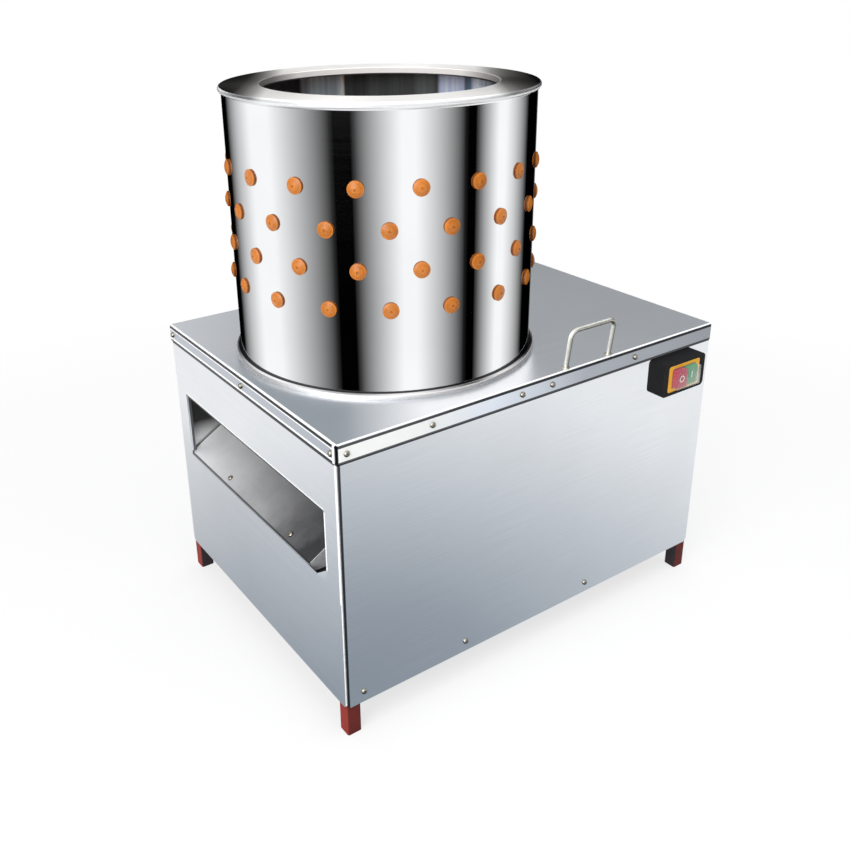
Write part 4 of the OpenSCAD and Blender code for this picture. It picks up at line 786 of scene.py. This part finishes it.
def makeSheetScrews():
    pattern = makePanScrew(panScrew)
    copies = []
    for index, (place, turn) in enumerate(screwPlaces(screwRows)):
        copy = pattern.copy()
        copy.data = pattern.data.copy()
        bpy.context.collection.objects.link(copy)
        pickAll([copy])
        copy.rotation_euler = (0, 0, math.radians(panScrew["turnStep"] * index % 90))
        applyPlace()
        copy.location, copy.rotation_euler = place, turn
        applyPlace()
        copies.append(copy)
    bpy.data.objects.remove(pattern)
    pickAll(copies)
    bpy.ops.object.join()
    screws = bpy.context.object
    settle(screws, "sheetScrews", "machine", "screwZinc")
    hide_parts("sheet_screws")


# Weld bead round each foot of the handles
weldBead = {"rod": 0.004, "bead": 0.0021, "outside": 0.3, "wobble": 0.00035, "sink": 0.0001}


def makeWelds(size):
    beads = []
    for name, outward in (("front_handle", -1), ("rear_handle", 1)):
        low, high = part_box(name)
        footY = high[1] - size["rod"] if outward < 0 else low[1] + size["rod"]
        for footX in (low[0] + size["rod"], high[0] - size["rod"]):
            clearSelection()
            bpy.ops.mesh.primitive_torus_add(
                major_segments=36, minor_segments=12, minor_radius=size["bead"],
                major_radius=size["rod"] + size["outside"] * size["bead"],
                location=(footX, footY, low[2]))
            bead = bpy.context.object
            applyPlace()
            bpy.ops.object.mode_set(mode="EDIT")
            bpy.ops.mesh.select_all(action="SELECT")
            bpy.ops.transform.vertex_random(offset=size["wobble"], uniform=0.3, normal=0.7,
                                            seed=len(beads) + 1)
            bpy.ops.mesh.bisect(plane_co=(0, 0, low[2] - size["sink"]), plane_no=(0, 0, 1),
                                use_fill=True, clear_inner=True)
            bpy.ops.object.mode_set(mode="OBJECT")
            beads.append(bead)
    pickAll(beads)
    bpy.ops.object.join()
    settle(bpy.context.object, "handleWelds", "machine", "zincPlate")


# Three-cornered plate that closes the outlet's lower corner on the switch side
def makeCornerPlate(size):
    clearSelection()
    centre = (endLow[0] + size["sheet"] / 2, outlet["near"] + size["along"] / 2,
              outlet["foot"] + size["up"] / 2)
    bpy.ops.mesh.primitive_cube_add(size=1, location=centre)
    plate = bpy.context.object
    plate.scale = (size["sheet"], size["along"], size["up"])
    applyPlace()
    bpy.ops.object.mode_set(mode="EDIT")
    bpy.ops.mesh.select_all(action="SELECT")
    bpy.ops.mesh.bisect(plane_co=centre, plane_no=(0, size["up"], size["along"]),
                        use_fill=True, clear_outer=True)
    pick(plate, "edges", lambda e: min(edgeRun(e, 1), edgeRun(e, 2)) > 10 * tiny)
    bpy.ops.mesh.bevel(offset=size["edge"], segments=3, affect="EDGES")
    bpy.ops.object.mode_set(mode="OBJECT")
    settle(plate, "outletCorner", "machine", "endSteel")


# Raised ring on the stop button and raised bar on the start button, both sunk in a little.
# The bar's width and rounding are shares of the ring's line
buttonMarks = {"ring": 0.0062, "line": 0.0016, "bar": 0.0125, "stand": 0.0004, "sink": 0.0001,
               "barWidth": 1.3, "barRound": 0.6}


def makeStopRing(size):
    low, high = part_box("stop_button")
    clearSelection()
    centre = ((low[0] + high[0]) / 2, low[1] + size["sink"], (low[2] + high[2]) / 2)
    bpy.ops.mesh.primitive_circle_add(vertices=48, radius=size["ring"], fill_type="NGON",
                                      location=centre, rotation=(math.radians(90), 0, 0))
    ring = bpy.context.object
    applyPlace()
    bpy.ops.object.mode_set(mode="EDIT")
    bpy.ops.mesh.select_all(action="SELECT")
    bpy.ops.mesh.inset(thickness=size["line"])
    bpy.ops.mesh.delete(type="FACE")
    bpy.ops.mesh.select_all(action="SELECT")
    outward = (0, -size["stand"] - size["sink"], 0)
    bpy.ops.mesh.extrude_region_move(TRANSFORM_OT_translate={"value": outward})
    bpy.ops.mesh.select_all(action="SELECT")
    bpy.ops.mesh.normals_make_consistent(inside=False)
    bpy.ops.object.mode_set(mode="OBJECT")
    settle(ring, "stopRing", "stop_button", "markWhite")


def makeStartBar(size):
    low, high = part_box("start_button")
    clearSelection()
    centre = ((low[0] + high[0]) / 2, low[1] - size["stand"] / 2 + size["sink"], (low[2] + high[2]) / 2)
    bpy.ops.mesh.primitive_cube_add(size=1, location=centre)
    bar = bpy.context.object
    bar.scale = (size["barWidth"] * size["line"], size["stand"] + 2 * size["sink"], size["bar"])
    applyPlace()
    bpy.ops.object.mode_set(mode="EDIT")
    pick(bar, "edges", lambda e: edgeRun(e, 1) > size["stand"] / 2)
    bpy.ops.mesh.bevel(offset=size["barRound"] * size["line"], segments=4, affect="EDGES")
    bpy.ops.object.mode_set(mode="OBJECT")
    settle(bar, "startBar", "start_button", "markWhite")


makeSheetScrews()
makeWelds(weldBead)
makeCornerPlate(cornerPlate)
makeStopRing(buttonMarks)
makeStartBar(buttonMarks)
print("screws, welds, corner plate and button marks made")

# Studio: white floor, soft boxes, a sky that polished metal sees darker at its sides, and a light
# tent round the drum. The view's azimuth, the way the camera looks, is in degrees
studio = {
    "softBox": {"place": (0.3, -0.4, 2.8), "size": 3.2, "power": 55, "glossy": False},
    "sideBox": {"place": (-2.5, -1.1, 1.7), "size": 1.8, "power": 55, "glossy": True},
    "aim": (0, 0, 0.4), "sky": 0.38, "viewAzimuth": 56,
}
# Floor: white for the camera, with the machine's shadow kept round its near corner. What metal sees
# of it is a painted shadow: share of the reach from that corner, and brightness there, with powers for
# red and blue
whiteFloor = {
    "size": 14.0, "drop": 0.0005, "nearCorner": (-0.34, -0.42, 0), "white": (0.72, 1.0, 1.0, 2.2),
    "reach": 1.6, "stops": [(0.0, 0.30), (0.16, 0.36), (0.42, 0.63), (0.66, 0.88), (0.80, 1.0)],
    "red": 1.12, "blue": 0.88,
}
# What metal sees of the sky, as two brightnesses and the span of a direction's share between them:
# from before the machine to behind it, to its sides, up from the horizon, overhead and straight up
metalSky = {
    "ahead": (1.0, 0.44, -0.5, 0.3), "aside": (1.0, 0.10, 0.5, 0.9), "horizon": (0.02, 1.0, 0.12, 0.28),
    "overhead": (0.0, 1.7, 0.48, 0.8), "zenith": (1.0, 0.35, 0.82, 0.92),
}
# Pale card behind the cover's far corner, seen in reflections alone
backCard = {"place": (0.0, 3.0, 1.45), "aim": (0, 0, 0.5), "size": (3.0, 1.5), "fade": (0.15, 0.5)}
# Light tent close round the drum. Inside it is dark with soft slits, outside it glows over one arc.
# Azimuths are in degrees from the switch side: where a slit or the glow starts to open, is full,
# and closes again
tent = {
    "gap": 0.007, "lining": 0.0015, "sides": 144, "below": 0.003, "under": 0.001,
    "slits": [(-172, -155, -150, -128), (-107, -85, -75, -50), (-43, -27, -22, -4), (0.5, 11, 15, 32),
              (50, 75, 85, 110), (125, 145, 150, 172)],
    "glow": [(-48, -20, 30, 55)], "dim": 0.42, "shine": 1.25, "red": 1.1, "blue": 0.93,
}


# Light that is a colour as it stands
def glowIn(tree, colour):
    return addNode(tree, "ShaderNodeEmission", {"Color": colour, "Strength": 1.0}).outputs[0]


# Stops of brightness as colours, with powers of it for red and blue
def tintStops(stops, red, blue):
    return [(at, (b ** red, b, b ** blue)) for at, b in stops]


# Gives a stage piece its paper, which isn't sampled as a lamp
def hang(piece, mat):
    mat.cycles.emission_sampling = "NONE"
    piece.data.materials.append(mat)


def showSurface(tree, shader):
    feed(tree, tree.nodes["Material Output"], {"Surface": shader})


def makeFloor(form):
    clearSelection()
    bpy.ops.mesh.primitive_plane_add(size=form["size"], location=(0, 0, -form["drop"]))
    floor = bpy.context.object
    floor.name = "floor"
    mat, tree = startMaterial("floorPaper")
    paint(mat, {"Base Color": (0.93, 0.93, 0.93), "Roughness": 0.9})
    paper = tree.nodes["Principled BSDF"].outputs[0]
    away = measure(tree, "DISTANCE", objectSpace(tree), form["nearCorner"])
    light = addNode(tree, "ShaderNodeLightPath").outputs
    share = calculate(tree, "MULTIPLY", light["Is Camera Ray"], rangeOver(tree, away, *form["white"]))
    seen = mixShaders(tree, share, paper, glowIn(tree, (1, 1, 1)))
    # Painted shadow that metal sees, dark near the machine's near corner
    reach = rangeOver(tree, away, 0.0, 1.0, 0.0, form["reach"])
    sheen = rampOver(tree, reach, tintStops(form["stops"], form["red"], form["blue"]))
    showSurface(tree, mixShaders(tree, light["Is Glossy Ray"], seen, glowIn(tree, sheen)))
    hang(floor, mat)


def makeSky():
    world = bpy.data.worlds.new("studioSky")
    bpy.context.scene.world = world
    world.use_nodes = True
    tree = world.node_tree
    base = tree.nodes["Background"]
    feed(tree, base, {"Color": (0.97, 0.985, 1.0), "Strength": studio["sky"]})
    white = addNode(tree, "ShaderNodeBackground", {"Color": (1, 1, 1), "Strength": 1.0})
    light = addNode(tree, "ShaderNodeLightPath").outputs
    clear = calculate(tree, "MAXIMUM", light["Is Camera Ray"], light["Is Transmission Ray"])
    turn = math.radians(studio["viewAzimuth"])
    toSky = addNode(tree, "ShaderNodeTexCoord").outputs["Generated"]
    ahead, aside, up = [measure(tree, "DOT_PRODUCT", toSky, way) for way in (
        (math.cos(turn), math.sin(turn), 0), (-math.sin(turn), math.cos(turn), 0), (0, 0, 1))]
    sides = rangeOver(tree, calculate(tree, "ABSOLUTE", aside), *metalSky["aside"])
    level = calculate(tree, "MULTIPLY", rangeOver(tree, ahead, *metalSky["ahead"]), sides)
    low = calculate(tree, "MULTIPLY", level, rangeOver(tree, up, *metalSky["horizon"]))
    high = calculate(tree, "MULTIPLY", rangeOver(tree, up, *metalSky["overhead"]),
                     rangeOver(tree, up, *metalSky["zenith"]))
    metal = addNode(tree, "ShaderNodeBackground", {
        "Color": (0.96, 0.985, 1.0), "Strength": calculate(tree, "MAXIMUM", low, high)})
    first = mixShaders(tree, light["Is Glossy Ray"], base.outputs[0], metal.outputs[0])
    sky = mixShaders(tree, clear, first, white.outputs[0])
    feed(tree, tree.nodes["World Output"], {"Surface": sky})


def makeBox(name, place, size, power, glossy):
    bpy.ops.object.light_add(type="AREA", location=place)
    box = bpy.context.object
    box.name = name
    box.data.shape = "SQUARE"
    box.data.size = size
    box.data.energy = power
    box.rotation_euler = (Vector(studio["aim"]) - Vector(place)).to_track_quat("-Z", "Y").to_euler()
    box.visible_glossy = glossy


# Stage pieces that only reflections show
def hideFromCamera(piece):
    piece.visible_camera = False
    piece.visible_diffuse = False
    piece.visible_shadow = False
    piece.visible_transmission = False


# Pale card, fading out towards its edges
def makeCard(card):
    clearSelection()
    facing = (Vector(card["aim"]) - Vector(card["place"])).to_track_quat("Z", "Y").to_euler()
    bpy.ops.mesh.primitive_plane_add(size=1, location=card["place"], rotation=facing)
    pale = bpy.context.object
    pale.name = "backCard"
    pale.scale = (*card["size"], 1)
    mat, tree = startMaterial("cardPaper")
    flat = addNode(tree, "ShaderNodeTexCoord").outputs["UV"]
    away = measure(tree, "DISTANCE", flat, (0.5, 0.5, 0))
    paint(mat, {
        "Base Color": (0, 0, 0), "Emission Color": (1, 1, 1), "Emission Strength": 1.0,
        "Alpha": rangeOver(tree, away, 1.0, 0.0, *card["fade"]),
    })
    hang(pale, mat)
    hideFromCamera(pale)


# One layer of the tent: a tube that shines by azimuth
def makeTentLayer(name, reach, arcs, dim, full):
    foot, head = ringHigh[2] - tent["below"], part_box("drum_rim")[0][2] - tent["under"]
    clearSelection()
    bpy.ops.mesh.primitive_cylinder_add(vertices=tent["sides"], radius=drumRadius + reach,
                                        depth=head - foot, end_fill_type="NOTHING",
                                        location=(*drumAxis, (foot + head) / 2))
    layer = bpy.context.object
    layer.name = name
    applyPlace()
    mat, tree = startMaterial(name + "Paper")
    away = addNode(tree, "ShaderNodeSeparateXYZ", {"Vector": fromDrumAxis(tree)}).outputs
    front = calculate(tree, "MULTIPLY", away["Y"], -1.0)
    azimuth = calculate(tree, "ARCTAN2", away["X"], front)
    share = rangeOver(tree, azimuth, 0.0, 1.0, -math.pi, math.pi)
    stops = []
    for arc in arcs:
        stops += [((at + 180) / 360, b) for at, b in zip(arc, (dim, full, full, dim))]
    colour = rampOver(tree, share, tintStops(stops, tent["red"], tent["blue"]))
    showSurface(tree, glowIn(tree, colour))
    hang(layer, mat)
    hideFromCamera(layer)


makeFloor(whiteFloor)
makeSky()
makeBox("softBox", **studio["softBox"])
makeBox("sideBox", **studio["sideBox"])
makeCard(backCard)
makeTentLayer("tentLining", tent["gap"], tent["slits"], 0.0, 1.0)
makeTentLayer("tentShell", tent["gap"] + tent["lining"], tent["glow"], tent["dim"], tent["shine"])
print("studio ready")

bpy.context.view_layer.update()
